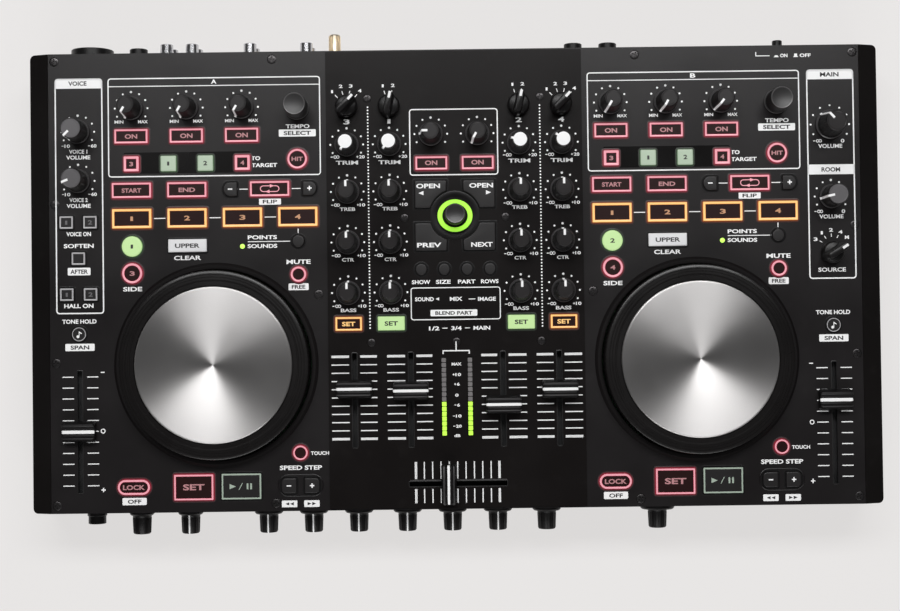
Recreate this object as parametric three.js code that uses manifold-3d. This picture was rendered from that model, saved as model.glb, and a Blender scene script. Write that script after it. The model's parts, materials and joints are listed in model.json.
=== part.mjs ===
// A four-channel DJ controller: two decks with jog wheels beside a mixer.
// Millimetres. +X is the user's right, +Y the rear edge, +Z up. The table is z = 0.
// Places on the panel are counted from the middle of the case, seen from above.

import * as THREE from 'three';
import { mergeVertices } from 'three/addons/utils/BufferGeometryUtils.js';
import Module from 'manifold-3d';

const wasm = await Module();
wasm.setup();

// Case and cover
const bodyWidth = 437;
const bodyDepth = 236;
const caseHeight = 36;
const caseWall = 2;
const caseFloor = 2;
const caseCornerRadius = 2.5;
const footHeight = 4;
const footRadius = 9;
const footInset = 27;
const cheekWidth = 9.9;
const cheekDrop = 3.5;
const cheekWall = 12.5;
const coverThickness = 1.6;
const coverClearance = 0.2;
const faceplateWidth = 131.4;
const faceplateThickness = 1;
const faceplateEdgeGap = 0.8;
const faceplateLap = 2.5;

// Clearances and the overrun of every cut
const seatGap = 0.3;
const windowClearance = 0.35;
const cutOverrun = 1;

// Boards inside the case
const boardStandoff = 20;
const boardThickness = 1.6;
const mainBoardSideGap = 6;
const mainBoardFrontGap = 5;
const mainBoardRearGap = 19;
const boardPostRadius = 4;
const boardPostInset = 30;
const potSize = 9.5;
const potDrop = 1.2;
const faderBodyWidth = 12;
const faderBodyEnd = 3.4;
const faderBodyDrop = 3.4;

// Cover screws
const screwHeadRadius = 2.5;
const screwSeatDepth = 1;
const screwPostRadius = 3;
const screwBossDepth = 9;
const screwEdgeX = 13.2;
const screwEdgeY = 4;
const innerScrewX = 93.3;
const sideScrewRearLeftY = 40.4;
const sideScrewRearRightY = 25;
const sideScrewFrontY = -41;
const middleScrewX = 70.4;
const middleScrewY = -7.3;

// Faceplate screws
const plateScrewRadius = 2.2;
const plateScrewDepth = 0.6;
const plateScrewTopX = 44.4;
const plateScrewTopY = 93;
const plateScrewMiddleX = 25.9;
const plateScrewMiddleY = 31.4;
const plateScrewLowX = 43.5;
const plateScrewLowY = -32.4;

// Turned knobs
const knobTopHeight = 56;
const knobSkirtGap = 0.5;
const knobShaftRadius = 3;
const knobSkirtRadius = 6.2;
const knobSkirtHeight = 1.4;
const knobBodyRadius = 5.4;
const knobCapRadius = 4.5;
const largeKnobScale = 1.22;
const encoderRadius = 5.8;
const encoderTopDrop = 0.8;
const encoderDishRadius = 5;
const encoderDishDepth = 1.3;

// Bar knobs of the selectors
const selectorBaseRadius = 5.7;
const selectorBaseHeight = 4.5;
const selectorBarWidth = 4.4;
const selectorBarLength = 12.6;
const selectorTopDrop = 1;
const selectorFourWayRest = THREE.MathUtils.degToRad(48);
const selectorTwoWayRest = THREE.MathUtils.degToRad(78);
const selectorRoomRest = THREE.MathUtils.degToRad(33);

// Deck layout, the same for both decks, counted from the deck's middle
const deckMiddleX = 123.2;
const columnPitch = 28.4;
const fourInRowShares = [-1.5, -0.5, 0.5, 1.5];
const fxKnobY = 89.6;
const fxEncoderY = 88.9;
const fxOnY = 75.1;
const assignY = 60.9;
const assignPitch = 19;
const tapY = 62.5;
const loopY = 47.3;
const loopMinusOffset = 8;
const loopAutoOffset = 28.3;
const loopPlusOffset = 48.7;
const cuePointY = 32.8;
const deckSelectRearY = 18.5;
const deckSelectFrontY = 4.7;
const shiftY = 18.6;
const toggleY = 20.2;
const muteY = 3.2;
const jogY = -42.7;
const touchModeY = -88.1;
const transportY = -105;
const syncOffset = -42.6;
const cueOffset = -12.4;
const playOffset = 12.3;
const bendMinusOffset = 36.6;
const bendPlusOffset = 48.4;

// Outer columns beside the decks
const outerColumnX = 193.3;
const micFirstKnobY = 77.8;
const micSecondKnobY = 52.5;
const micKeyPitch = 12.2;
const micOnY = 31.2;
const duckingY = 12.6;
const echoOnY = -5.8;
const keyLockY = -26.2;
const mainKnobY = 76.8;
const roomKnobY = 39.8;
const roomSelectorY = 11.1;

// Mixer layout
const outerChannelX = 55.1;
const innerChannelX = 33.3;
const selectorRowY = 89;
const levelRowY = 69.4;
const highRowY = 45.2;
const midRowY = 19.2;
const lowRowY = -6.7;
const channelKeyY = -22.6;
const mixerFxX = 11.9;
const mixerFxKnobY = 74.4;
const mixerFxOnY = 59.5;
const browseY = 32.4;
const browseRadius = 5.2;
const cornerKeyX = 12.4;
const cornerKeyY = 10.9;
const viewKeyPitch = 11.75;
const viewKeyY = 4.8;

// Key sizes, width by depth, or radius
const keyRise = 1.2;
const keyTravel = 1;
const webThickness = 1.2;
const webWidth = 3;
const webDrop = 3.4;
const onKeyWidth = 17.3;
const onKeyDepth = 7.5;
const assignKeySize = 8;
const tapKeyRadius = 5.2;
const loopKeyWidth = 20.4;
const loopKeyDepth = 8;
const stepKeySize = 7.4;
const cuePointKeyWidth = 20.4;
const cuePointKeyDepth = 10.1;
const deckKeyRadius = 5.3;
const shiftKeyWidth = 19.8;
const shiftKeyDepth = 6.7;
const toggleKeyRadius = 3.3;
const roundKeyRadius = 4.1;
const bendKeySize = 8;
const syncKeyWidth = 17.5;
const syncKeyDepth = 8.6;
const cueKeyWidth = 21;
const cueKeyDepth = 13.8;
const playKeyWidth = 20.5;
const playKeyDepth = 13.4;
const micKeyWidth = 7.2;
const micKeyDepth = 6.7;
const keyLockRadius = 3.7;
const cornerKeyWidth = 16.6;
const cornerKeyDepth = 14.4;
const browseDishRadius = 13;
const viewKeyRadius = 3.1;
const channelKeyWidth = 13.8;
const channelKeyDepth = 7.2;
const outerLinkOffset = 56.8;

// Jog wheels
const bezelOuterRadius = 52.3;
const bezelInnerRadius = 49;
const bezelHeight = 1.6;
const platterRadius = 48.3;
const platterShoulderRadius = 46.6;
const platterUnderRadius = 46;
const platterUnderHeight = 2.5;
const platterBelowCover = 2.9;
const platterSideHeight = 7.6;
const platterShoulderHeight = 10.4;
const platterTopHeight = 11.4;
const discRadius = 39.8;
const discSeatDepth = 1.2;
const discHeight = 12.5;
const discClearance = 0.4;
const jogHubRadius = 11;

// Faders
const slotWidth = 2.4;
const stemWidth = 1.4;
const stemDepth = 4;
const channelSlotLength = 48.2;
const channelSlotY = -61.8;
const outerFaderX = 52.4;
const innerFaderX = 23.6;
const faderThreeY = -56;
const faderOneY = -57.2;
const faderTwoY = -64.7;
const faderFourY = -57.2;
const channelCapWidth = 18;
const channelCapDepth = 9.4;
const crossSlotLength = 50;
const crossSlotY = -104.9;
const crossCapX = -4.7;
const crossCapWidth = 20;
const crossCapDepth = 8;
const pitchSlotLength = 62.4;
const pitchSlotY = -76.2;
const leftPitchCapY = -76.3;
const rightPitchCapY = -64.7;
const pitchCapWidth = 16.6;
const pitchCapDepth = 11.4;
const capGap = 0.8;
const capHeight = 9;
const capFootShares = [[-0.5, 0], [0.5, 0]];
const capTopShares = [[0.36, 1], [0.13, 0.84], [-0.13, 0.84], [-0.36, 1]];

// Level meter
const meterX = 6.7;
const meterRearY = -40.4;
const meterFrontY = -80.5;
const meterBarWidth = 2.4;
const meterClearance = 0.2;
const meterRise = 0.2;
const meterLinkDepth = 3;

// Front edge: headphone socket and ten knobs, with their places along X
const frontControlHeight = 20;
const frontReach = 13;
const frontKnobRadius = 4.95;
const frontKnobTipRadius = 4.6;
const frontFlangeRadius = 6.3;
const frontWideFlangeRadius = 8.6;
const frontFlangeThickness = 3.6;
const frontShaftRadius = 3;
const frontBoardHeight = 22;
const frontBoardEnd = 12;
const phonesX = -189.4;
const phonesReach = 7.4;
const frontKnobFirstX = -165.9;
const frontKnobSecondX = -140.4;
const frontKnobThirdX = -99.4;
const frontKnobFourthX = -75.8;
const frontKnobFifthX = -52.1;
const frontKnobSixthX = -26.7;
const frontKnobSeventhX = -3.1;
const frontKnobEighthX = 20.6;
const frontKnobNinthX = 46.2;
const frontKnobTenthX = 104.2;

// Rear edge: sockets and the ground terminal
const jackBodyDepth = 16.4;
const jackBodyMargin = 1.1;
const jackCollarRadius = 4.7;
const jackBoreRadius = 3.3;
const jackBoreDepth = 19;
const jackHeight = 20;
const jackReach = 5.5;
const comboX = -189.8;
const comboRadius = 11;
const comboReach = 5.2;
const micJackX = -165.5;
const outJackFirstX = 63.3;
const outJackSecondX = 81.5;
const phonoFirstX = -149.1;
const phonoSecondX = -135.9;
const phonoThirdX = -105.7;
const phonoFourthX = -76.3;
const phonoRadius = 3.3;
const phonoBoreRadius = 1.7;
const phonoBoreDepth = 8;
const phonoReach = 6.2;
const phonoUpperHeight = 29;
const phonoLowerHeight = 14;
const groundX = -62.6;
const groundRadius = 3.2;
const groundReach = 13;
const groundHeight = 14;
const usbX = -48.5;
const usbWidth = 8.4;
const usbHeight = 7.8;
const usbHoleSize = 5.8;
const usbHoleDepth = 9;
const usbReach = 1.6;
const inletX = 148;
const inletRadius = 4.6;
const inletBoreRadius = 2.7;
const inletBoreDepth = 9;
const inletReach = 0.6;
const powerX = 171;
const powerRadius = 2.6;
const powerReach = 6;
const powerHousingSize = 9;
const powerTravel = 3;

// Numbers of flat sides on round pieces
const knobSides = 10;
const holeSides = 8;
const jogSides = 36;
const socketSides = 10;
const boreSides = 12;
const keySides = 10;
const cornerSides = 2;

// Heights that follow from the sizes above
const panelTop = footHeight + caseHeight;
const coverLow = panelTop - coverThickness;
const plateTop = panelTop + faceplateThickness;
const floorTop = footHeight + caseFloor;
const boardLow = floorTop + boardStandoff;
const boardTop = boardLow + boardThickness;
const potTop = coverLow - potDrop;
const faderBodyTop = coverLow - faderBodyDrop;
const webTop = coverLow - webDrop;
const plungerLow = boardTop + keyTravel + seatGap;
const coverHalfWidth = bodyWidth / 2 - cheekWidth - coverClearance;
const insideHalfWidth = bodyWidth / 2 - cheekWall;
const frontWallY = -bodyDepth / 2;
const rearWallY = bodyDepth / 2;
const columnOffsets = fourInRowShares.map((share) => share * columnPitch);
const viewKeyXs = fourInRowShares.map((share) => share * viewKeyPitch);
const micKeyXs = [-outerColumnX - micKeyPitch / 2, -outerColumnX + micKeyPitch / 2];

// Makes a closed solid from a geometry, with shared vertices and no empty triangles.
function toSolid(geometry) {
  geometry.deleteAttribute('normal');
  geometry.deleteAttribute('uv');
  const merged = mergeVertices(geometry);
  const index = merged.index.array;
  const triangles = [];
  for (let i = 0; i < index.length; i += 3) {
    const [a, b, c] = [index[i], index[i + 1], index[i + 2]];
    if (a !== b && b !== c && c !== a) triangles.push(a, b, c);
  }
  return new wasm.Manifold(new wasm.Mesh({
    numProp: 3,
    vertProperties: merged.attributes.position.array,
    triVerts: new Uint32Array(triangles),
  }));
}

function toGeometry(solid) {
  const { vertProperties, triVerts } = solid.getMesh();
  const geometry = new THREE.BufferGeometry();
  geometry.setAttribute('position', new THREE.BufferAttribute(new Float32Array(vertProperties), 3));
  geometry.setIndex(new THREE.BufferAttribute(new Uint32Array(triVerts), 1));
  geometry.computeVertexNormals();
  return geometry;
}

function join(solids) {
  return solids.reduce((whole, solid) => whole.add(solid));
}

function cut(whole, cutters) {
  return whole.subtract(join(cutters));
}

// A box centred on x and y that stands on low.
function block(x, y, low, width, depth, height) {
  const geometry = new THREE.BoxGeometry(width, depth, height);
  geometry.translate(x, y, low + height / 2);
  return toSolid(geometry);
}

// An upright rod that stands on low.
function rod(x, y, low, radius, height, sides) {
  const geometry = new THREE.CylinderGeometry(radius, radius, height, sides);
  geometry.rotateX(Math.PI / 2);
  geometry.translate(x, y, low + height / 2);
  return toSolid(geometry);
}

// A rod along Y from one place to another.
function rodAlongY(x, z, fromY, toY, radius, sides, farRadius = radius) {
  const geometry = new THREE.CylinderGeometry(farRadius, radius, toY - fromY, sides);
  geometry.translate(x, (fromY + toY) / 2, z);
  return toSolid(geometry);
}

// A turned piece from a profile of radius and height, listed from the bottom up.
function turned(x, y, profile, sides) {
  const points = profile.map(([radius, height]) => new THREE.Vector2(radius, height));
  const geometry = new THREE.LatheGeometry(points, sides);
  geometry.rotateX(Math.PI / 2);
  geometry.translate(x, y, 0);
  return toSolid(geometry);
}

function roundedPlate(width, depth, radius, low, height) {
  const [x, y] = [width / 2, depth / 2];
  const outline = new THREE.Shape();
  outline.absarc(x - radius, y - radius, radius, 0, Math.PI / 2);
  outline.absarc(radius - x, y - radius, radius, Math.PI / 2, Math.PI);
  outline.absarc(radius - x, radius - y, radius, Math.PI, 1.5 * Math.PI);
  outline.absarc(x - radius, radius - y, radius, 1.5 * Math.PI, 2 * Math.PI);
  const geometry = new THREE.ExtrudeGeometry(outline, {
    depth: height, bevelEnabled: false, curveSegments: cornerSides,
  });
  geometry.translate(0, 0, low);
  return toSolid(geometry);
}

// A key stands on its plunger in a window that is cut from the same values.
function boxKey(x, y, width, depth) {
  return { x, y, width, depth };
}

function roundKey(x, y, radius) {
  return { x, y, radius };
}

function keySolid(key, surface) {
  const height = surface + keyRise - plungerLow;
  if (key.radius) return rod(key.x, key.y, plungerLow, key.radius, height, keySides);
  return block(key.x, key.y, plungerLow, key.width, key.depth, height);
}

function keyWindow(key, low, height) {
  const grow = 2 * windowClearance;
  if (key.radius) return rod(key.x, key.y, low, key.radius + windowClearance, height, keySides);
  return block(key.x, key.y, low, key.width + grow, key.depth + grow, height);
}

// A strip of the web between two places that share a row or a column.
function webStrip(fromX, fromY, toX, toY) {
  return block((fromX + toX) / 2, (fromY + toY) / 2, webTop - webThickness,
    Math.abs(toX - fromX) + webWidth, Math.abs(toY - fromY) + webWidth, webThickness);
}

// Keys of one deck, in the panel above the jog wheel
function deckKeys(middleX) {
  const columns = columnOffsets.map((offset) => middleX + offset);
  const keys = [0, 1, 2].map((i) => boxKey(columns[i], fxOnY, onKeyWidth, onKeyDepth));
  for (let i = 0; i < 4; i += 1) {
    keys.push(boxKey(columns[0] + i * assignPitch, assignY, assignKeySize, assignKeySize));
    keys.push(boxKey(columns[i], cuePointY, cuePointKeyWidth, cuePointKeyDepth));
  }
  keys.push(roundKey(columns[3], tapY, tapKeyRadius));
  keys.push(boxKey(columns[0], loopY, loopKeyWidth, loopKeyDepth));
  keys.push(boxKey(columns[1], loopY, loopKeyWidth, loopKeyDepth));
  keys.push(boxKey(middleX + loopAutoOffset, loopY, loopKeyWidth, loopKeyDepth));
  keys.push(boxKey(middleX + loopMinusOffset, loopY, stepKeySize, stepKeySize));
  keys.push(boxKey(middleX + loopPlusOffset, loopY, stepKeySize, stepKeySize));
  keys.push(roundKey(columns[0], deckSelectRearY, deckKeyRadius));
  keys.push(roundKey(columns[0], deckSelectFrontY, deckKeyRadius));
  keys.push(boxKey(columns[1], shiftY, shiftKeyWidth, shiftKeyDepth));
  keys.push(roundKey(columns[3], toggleY, toggleKeyRadius));
  keys.push(roundKey(columns[3], muteY, roundKeyRadius));
  return keys;
}

// Rows of the web under those keys, joined by strips down the columns
function deckWeb(middleX) {
  const [first, second, third, fourth] = columnOffsets.map((offset) => middleX + offset);
  return [
    webStrip(first, fxOnY, third, fxOnY),
    webStrip(first, assignY, fourth, assignY),
    webStrip(first, loopY, middleX + loopPlusOffset, loopY),
    webStrip(first, cuePointY, fourth, cuePointY),
    webStrip(third, fxOnY, third, cuePointY),
    webStrip(first, cuePointY, first, deckSelectFrontY),
    webStrip(second, cuePointY, second, shiftY),
    webStrip(fourth, cuePointY, fourth, muteY),
  ];
}

const micKeys = [boxKey(-outerColumnX, duckingY, micKeyWidth, micKeyDepth)];
for (const x of micKeyXs) {
  micKeys.push(boxKey(x, micOnY, micKeyWidth, micKeyDepth));
  micKeys.push(boxKey(x, echoOnY, micKeyWidth, micKeyDepth));
}

const micWeb = [
  webStrip(micKeyXs[0], cuePointY, -deckMiddleX, cuePointY),
  webStrip(micKeyXs[0], echoOnY, micKeyXs[1], echoOnY),
  webStrip(-outerColumnX, cuePointY, -outerColumnX, keyLockY),
];

const rightKeyLockWeb = [
  webStrip(deckMiddleX, cuePointY, deckMiddleX + outerLinkOffset, cuePointY),
  webStrip(deckMiddleX + outerLinkOffset, cuePointY, deckMiddleX + outerLinkOffset, keyLockY),
  webStrip(deckMiddleX + outerLinkOffset, keyLockY, outerColumnX, keyLockY),
];

// Keys in front of the jog wheel
function transportKeys(middleX) {
  return [
    roundKey(middleX + columnOffsets[3], touchModeY, roundKeyRadius),
    boxKey(middleX + bendMinusOffset, transportY, bendKeySize, bendKeySize),
    boxKey(middleX + bendPlusOffset, transportY, bendKeySize, bendKeySize),
    boxKey(middleX + syncOffset, transportY, syncKeyWidth, syncKeyDepth),
    boxKey(middleX + cueOffset, transportY, cueKeyWidth, cueKeyDepth),
    boxKey(middleX + playOffset, transportY, playKeyWidth, playKeyDepth),
  ];
}

function transportWeb(middleX) {
  const fourth = middleX + columnOffsets[3];
  return [
    webStrip(middleX + syncOffset, transportY, middleX + bendPlusOffset, transportY),
    webStrip(fourth, touchModeY, fourth, transportY),
  ];
}

const mixerKeys = [
  boxKey(-mixerFxX, mixerFxOnY, onKeyWidth, onKeyDepth),
  boxKey(mixerFxX, mixerFxOnY, onKeyWidth, onKeyDepth),
];
for (const side of [-1, 1]) {
  for (const end of [-1, 1]) {
    mixerKeys.push(boxKey(side * cornerKeyX, browseY + end * cornerKeyY, cornerKeyWidth, cornerKeyDepth));
  }
  mixerKeys.push(boxKey(side * outerChannelX, channelKeyY, channelKeyWidth, channelKeyDepth));
  mixerKeys.push(boxKey(side * innerChannelX, channelKeyY, channelKeyWidth, channelKeyDepth));
}
for (const x of viewKeyXs) mixerKeys.push(roundKey(x, viewKeyY, viewKeyRadius));

const mixerWeb = [
  webStrip(-mixerFxX, mixerFxOnY, mixerFxX, mixerFxOnY),
  webStrip(viewKeyXs[0], viewKeyY, viewKeyXs[3], viewKeyY),
  webStrip(-outerChannelX, channelKeyY, outerChannelX, channelKeyY),
  webStrip(0, viewKeyY, 0, channelKeyY),
];
for (const side of [-1, 1]) {
  const linkX = side * (cornerKeyX + viewKeyPitch / 2);
  mixerWeb.push(webStrip(linkX, mixerFxOnY, linkX, viewKeyY));
  mixerWeb.push(webStrip(side * mixerFxX, mixerFxOnY, linkX, mixerFxOnY));
}

const leftDeckKeys = [...deckKeys(-deckMiddleX), ...micKeys];
const rightDeckKeys = deckKeys(deckMiddleX);
leftDeckKeys.push(roundKey(-outerColumnX, keyLockY, keyLockRadius));
rightDeckKeys.push(roundKey(outerColumnX, keyLockY, keyLockRadius));
const leftTransportKeys = transportKeys(-deckMiddleX);
const rightTransportKeys = transportKeys(deckMiddleX);

// Where each knob's shaft passes the panel, and how high the panel is there
function knobPlace(name, x, y, kind, restAngle = 0) {
  return { name, x, y, kind, restAngle, surface: Math.abs(x) < faceplateWidth / 2 ? plateTop : panelTop };
}

const knobPlaces = [
  knobPlace('mic_1_knob', -outerColumnX, micFirstKnobY, 'turned'),
  knobPlace('mic_2_knob', -outerColumnX, micSecondKnobY, 'turned'),
  knobPlace('main_volume_knob', outerColumnX, mainKnobY, 'large'),
  knobPlace('room_volume_knob', outerColumnX, roomKnobY, 'turned'),
  knobPlace('room_source_selector', outerColumnX, roomSelectorY, 'bar', selectorRoomRest),
  knobPlace('browse_encoder', 0, browseY, 'browse'),
  knobPlace('mixer_fx_knob_1', -mixerFxX, mixerFxKnobY, 'turned'),
  knobPlace('mixer_fx_knob_2', mixerFxX, mixerFxKnobY, 'turned'),
];
for (const [side, middleX] of [['left', -deckMiddleX], ['right', deckMiddleX]]) {
  for (const i of [0, 1, 2]) {
    knobPlaces.push(knobPlace(`${side}_fx_knob_${i + 1}`, middleX + columnOffsets[i], fxKnobY, 'turned'));
  }
  knobPlaces.push(knobPlace(`${side}_fx_encoder`, middleX + columnOffsets[3], fxEncoderY, 'encoder'));
}
const channels = [
  { number: 3, x: -outerChannelX, rest: selectorFourWayRest, faderX: -outerFaderX, capY: faderThreeY },
  { number: 1, x: -innerChannelX, rest: selectorTwoWayRest, faderX: -innerFaderX, capY: faderOneY },
  { number: 2, x: innerChannelX, rest: selectorTwoWayRest, faderX: innerFaderX, capY: faderTwoY },
  { number: 4, x: outerChannelX, rest: selectorFourWayRest, faderX: outerFaderX, capY: faderFourY },
];
for (const { number, x, rest } of channels) {
  knobPlaces.push(knobPlace(`input_selector_${number}`, x, selectorRowY, 'bar', rest));
  knobPlaces.push(knobPlace(`level_knob_${number}`, x, levelRowY, 'turned'));
  knobPlaces.push(knobPlace(`high_knob_${number}`, x, highRowY, 'turned'));
  knobPlaces.push(knobPlace(`mid_knob_${number}`, x, midRowY, 'turned'));
  knobPlaces.push(knobPlace(`low_knob_${number}`, x, lowRowY, 'turned'));
}

const onFaceplate = (place) => place.surface === plateTop;

// Faders: a slot in the panel, a body under it and a cap on a stem
const channelFaders = channels.map(({ number, faderX, capY }) => ({
  name: `channel_fader_${number}`, x: faderX, y: channelSlotY, length: channelSlotLength,
  capX: faderX, capY, capWidth: channelCapWidth, capDepth: channelCapDepth, surface: plateTop,
}));
const crossFader = {
  name: 'crossfader_cap', x: 0, y: crossSlotY, length: crossSlotLength, alongX: true,
  capX: crossCapX, capY: crossSlotY, capWidth: crossCapWidth, capDepth: crossCapDepth, surface: plateTop,
};
const pitchFaders = [['left', -1, leftPitchCapY], ['right', 1, rightPitchCapY]].map(([side, sign, capY]) => ({
  name: `${side}_pitch_fader`, x: sign * outerColumnX, y: pitchSlotY, length: pitchSlotLength,
  capX: sign * outerColumnX, capY, capWidth: pitchCapWidth, capDepth: pitchCapDepth, surface: panelTop,
}));
const mixerFaders = [...channelFaders, crossFader];

function faderBlock(fader, width, extra, low, height) {
  const length = fader.length + extra;
  return fader.alongX
    ? block(fader.x, fader.y, low, length, width, height)
    : block(fader.x, fader.y, low, width, length, height);
}

// Screws round the cover's edge, then the two in its middle
const edgeScrewX = bodyWidth / 2 - screwEdgeX;
const edgeScrewY = bodyDepth / 2 - screwEdgeY;
const edgeScrews = [
  [-edgeScrewX, sideScrewRearLeftY], [edgeScrewX, sideScrewRearRightY],
  [-edgeScrewX, sideScrewFrontY], [edgeScrewX, sideScrewFrontY],
];
for (const end of [-1, 1]) {
  for (const x of [-edgeScrewX, -innerScrewX, innerScrewX, edgeScrewX]) {
    edgeScrews.push([x, end * edgeScrewY]);
  }
}
const middleScrews = [[-middleScrewX, middleScrewY], [middleScrewX, middleScrewY]];
const plateScrews = [
  [-plateScrewTopX, plateScrewTopY], [plateScrewTopX, plateScrewTopY],
  [-plateScrewMiddleX, plateScrewMiddleY], [plateScrewMiddleX, plateScrewMiddleY],
  [-plateScrewLowX, plateScrewLowY], [0, plateScrewLowY], [plateScrewLowX, plateScrewLowY],
];

// A socket: place, height above the table, collar, how far it stands out, and its bore
function socket(x, z, radius, reach, bore, boreDepth) {
  return { x, z, radius, reach, bore, boreDepth };
}

const rearSockets = [
  socket(comboX, jackHeight, comboRadius, comboReach, jackBoreRadius, jackBoreDepth),
  socket(groundX, groundHeight, groundRadius, groundReach),
  socket(inletX, jackHeight, inletRadius, inletReach, inletBoreRadius, inletBoreDepth),
];
for (const x of [micJackX, outJackFirstX, outJackSecondX]) {
  rearSockets.push(socket(x, jackHeight, jackCollarRadius, jackReach, jackBoreRadius, jackBoreDepth));
}
for (const x of [phonoFirstX, phonoSecondX, phonoThirdX, phonoFourthX]) {
  for (const z of [phonoLowerHeight, phonoUpperHeight]) {
    rearSockets.push(socket(x, z, phonoRadius, phonoReach, phonoBoreRadius, phonoBoreDepth));
  }
}
const frontKnobXs = [
  frontKnobFirstX, frontKnobSecondX, frontKnobThirdX, frontKnobFourthX, frontKnobFifthX,
  frontKnobSixthX, frontKnobSeventhX, frontKnobEighthX, frontKnobNinthX, frontKnobTenthX,
];
const insideRearY = rearWallY - caseWall;
const insideFrontY = frontWallY + caseWall;

// The slanted cut along the top of one cheek
function cheekCutter(side) {
  const outerX = bodyWidth / 2;
  const innerX = outerX - cheekWidth;
  const outline = new THREE.Shape([
    new THREE.Vector2(side * innerX, panelTop),
    new THREE.Vector2(side * outerX, panelTop - cheekDrop),
    new THREE.Vector2(side * (outerX + cutOverrun), panelTop - cheekDrop),
    new THREE.Vector2(side * (outerX + cutOverrun), panelTop + cutOverrun),
    new THREE.Vector2(side * innerX, panelTop + cutOverrun),
  ]);
  const length = bodyDepth + 2 * cutOverrun;
  const geometry = new THREE.ExtrudeGeometry(outline, { depth: length, bevelEnabled: false });
  geometry.rotateX(Math.PI / 2);
  geometry.translate(0, length / 2, 0);
  return toSolid(geometry);
}

// The tray is the floor, the four walls, the cheeks, the screw bosses and the feet.
function caseTray() {
  const shell = cut(roundedPlate(bodyWidth, bodyDepth, caseCornerRadius, footHeight, caseHeight), [
    block(0, 0, floorTop, 2 * insideHalfWidth, bodyDepth - 2 * caseWall, caseHeight),
    block(0, 0, coverLow, 2 * (coverHalfWidth + coverClearance), bodyDepth + 2 * cutOverrun, caseHeight),
    cheekCutter(-1),
    cheekCutter(1),
  ]);
  const added = edgeScrews.map(([x, y]) =>
    rod(x, y, coverLow - screwBossDepth, screwPostRadius, screwBossDepth, holeSides));
  const postLow = floorTop - caseFloor / 2;
  for (const [x, y] of middleScrews) {
    added.push(rod(x, y, postLow, screwPostRadius, coverLow - postLow, holeSides));
  }
  for (const x of [footInset - bodyWidth / 2, bodyWidth / 2 - footInset]) {
    for (const y of [footInset - bodyDepth / 2, bodyDepth / 2 - footInset]) {
      added.push(rod(x, y, 0, footRadius, footHeight + caseFloor / 2, boreSides));
    }
  }
  const holes = rearSockets.map(({ x, z, radius }) =>
    rodAlongY(x, z, insideRearY - cutOverrun, rearWallY + cutOverrun, radius + windowClearance, socketSides));
  holes.push(rodAlongY(powerX, jackHeight, insideRearY - cutOverrun, rearWallY + cutOverrun,
    powerRadius + windowClearance, socketSides));
  holes.push(block(usbX, rearWallY, jackHeight - usbHeight / 2 - windowClearance,
    usbWidth + 2 * windowClearance, 2 * (caseWall + cutOverrun), usbHeight + 2 * windowClearance));
  for (const x of frontKnobXs) {
    holes.push(rodAlongY(x, frontControlHeight, frontWallY - cutOverrun, insideFrontY + cutOverrun,
      frontShaftRadius + windowClearance, holeSides));
  }
  holes.push(rodAlongY(phonesX, frontControlHeight, frontWallY - cutOverrun, insideFrontY + cutOverrun,
    jackCollarRadius + windowClearance, socketSides));
  return cut(join([shell, ...added]), holes);
}

function shaftHoles(places, low, height) {
  return places.map(({ x, y }) => rod(x, y, low, knobShaftRadius + windowClearance, height, holeSides));
}

function screwSeats(places, surface, radius, depth) {
  return places.map(([x, y]) => rod(x, y, surface - depth, radius, depth + cutOverrun, holeSides));
}

// A ring that stands on the cover round the jog wheel's opening, wider at its foot than at its top.
function jogBezel(x) {
  const low = panelTop - coverThickness / 2;
  const middle = (bezelInnerRadius + bezelOuterRadius) / 2;
  return turned(x, jogY, [
    [bezelInnerRadius, low], [bezelOuterRadius, low], [bezelOuterRadius, panelTop],
    [middle, panelTop + bezelHeight], [bezelInnerRadius, panelTop + bezelHeight / 2],
    [bezelInnerRadius, low],
  ], jogSides);
}

function deckCover() {
  const low = coverLow - cutOverrun;
  const height = coverThickness + 2 * cutOverrun;
  const keys = [...leftDeckKeys, ...rightDeckKeys, ...leftTransportKeys, ...rightTransportKeys];
  const openWidth = faceplateWidth - 2 * faceplateLap;
  const openDepth = bodyDepth - 2 * (faceplateEdgeGap + faceplateLap);
  const plate = cut(block(0, 0, coverLow, 2 * coverHalfWidth, bodyDepth, coverThickness), [
    block(0, 0, low, openWidth, openDepth, height),
    ...keys.map((key) => keyWindow(key, low, height)),
    ...shaftHoles(knobPlaces.filter((place) => !onFaceplate(place)), low, height),
    ...pitchFaders.map((fader) => faderBlock(fader, slotWidth, 0, low, height)),
    ...screwSeats([...edgeScrews, ...middleScrews], panelTop, screwHeadRadius, screwSeatDepth),
    rod(-deckMiddleX, jogY, low, bezelInnerRadius, height, jogSides),
    rod(deckMiddleX, jogY, low, bezelInnerRadius, height, jogSides),
  ]);
  return join([plate, jogBezel(-deckMiddleX), jogBezel(deckMiddleX)]);
}

function meterBars(grow, low, height) {
  const length = meterRearY - meterFrontY + 2 * grow;
  const middle = (meterRearY + meterFrontY) / 2;
  return [-meterX, meterX].map((x) => block(x, middle, low, meterBarWidth + 2 * grow, length, height));
}

function browseDish(radius, low, height) {
  return rod(0, browseY, low, radius, height, boreSides);
}

function mixerFaceplate() {
  const low = panelTop - cutOverrun;
  const height = faceplateThickness + 2 * cutOverrun;
  const windows = join(mixerKeys.map((key) => keyWindow(key, low, height)));
  return cut(block(0, 0, panelTop, faceplateWidth, bodyDepth - 2 * faceplateEdgeGap, faceplateThickness), [
    windows.subtract(browseDish(browseDishRadius - windowClearance, low, height)),
    ...shaftHoles(knobPlaces.filter(onFaceplate), low, height),
    ...mixerFaders.map((fader) => faderBlock(fader, slotWidth, 0, low, height)),
    ...meterBars(meterClearance, low, height),
    ...screwSeats(plateScrews, plateTop, plateScrewRadius, plateScrewDepth),
  ]);
}

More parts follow.
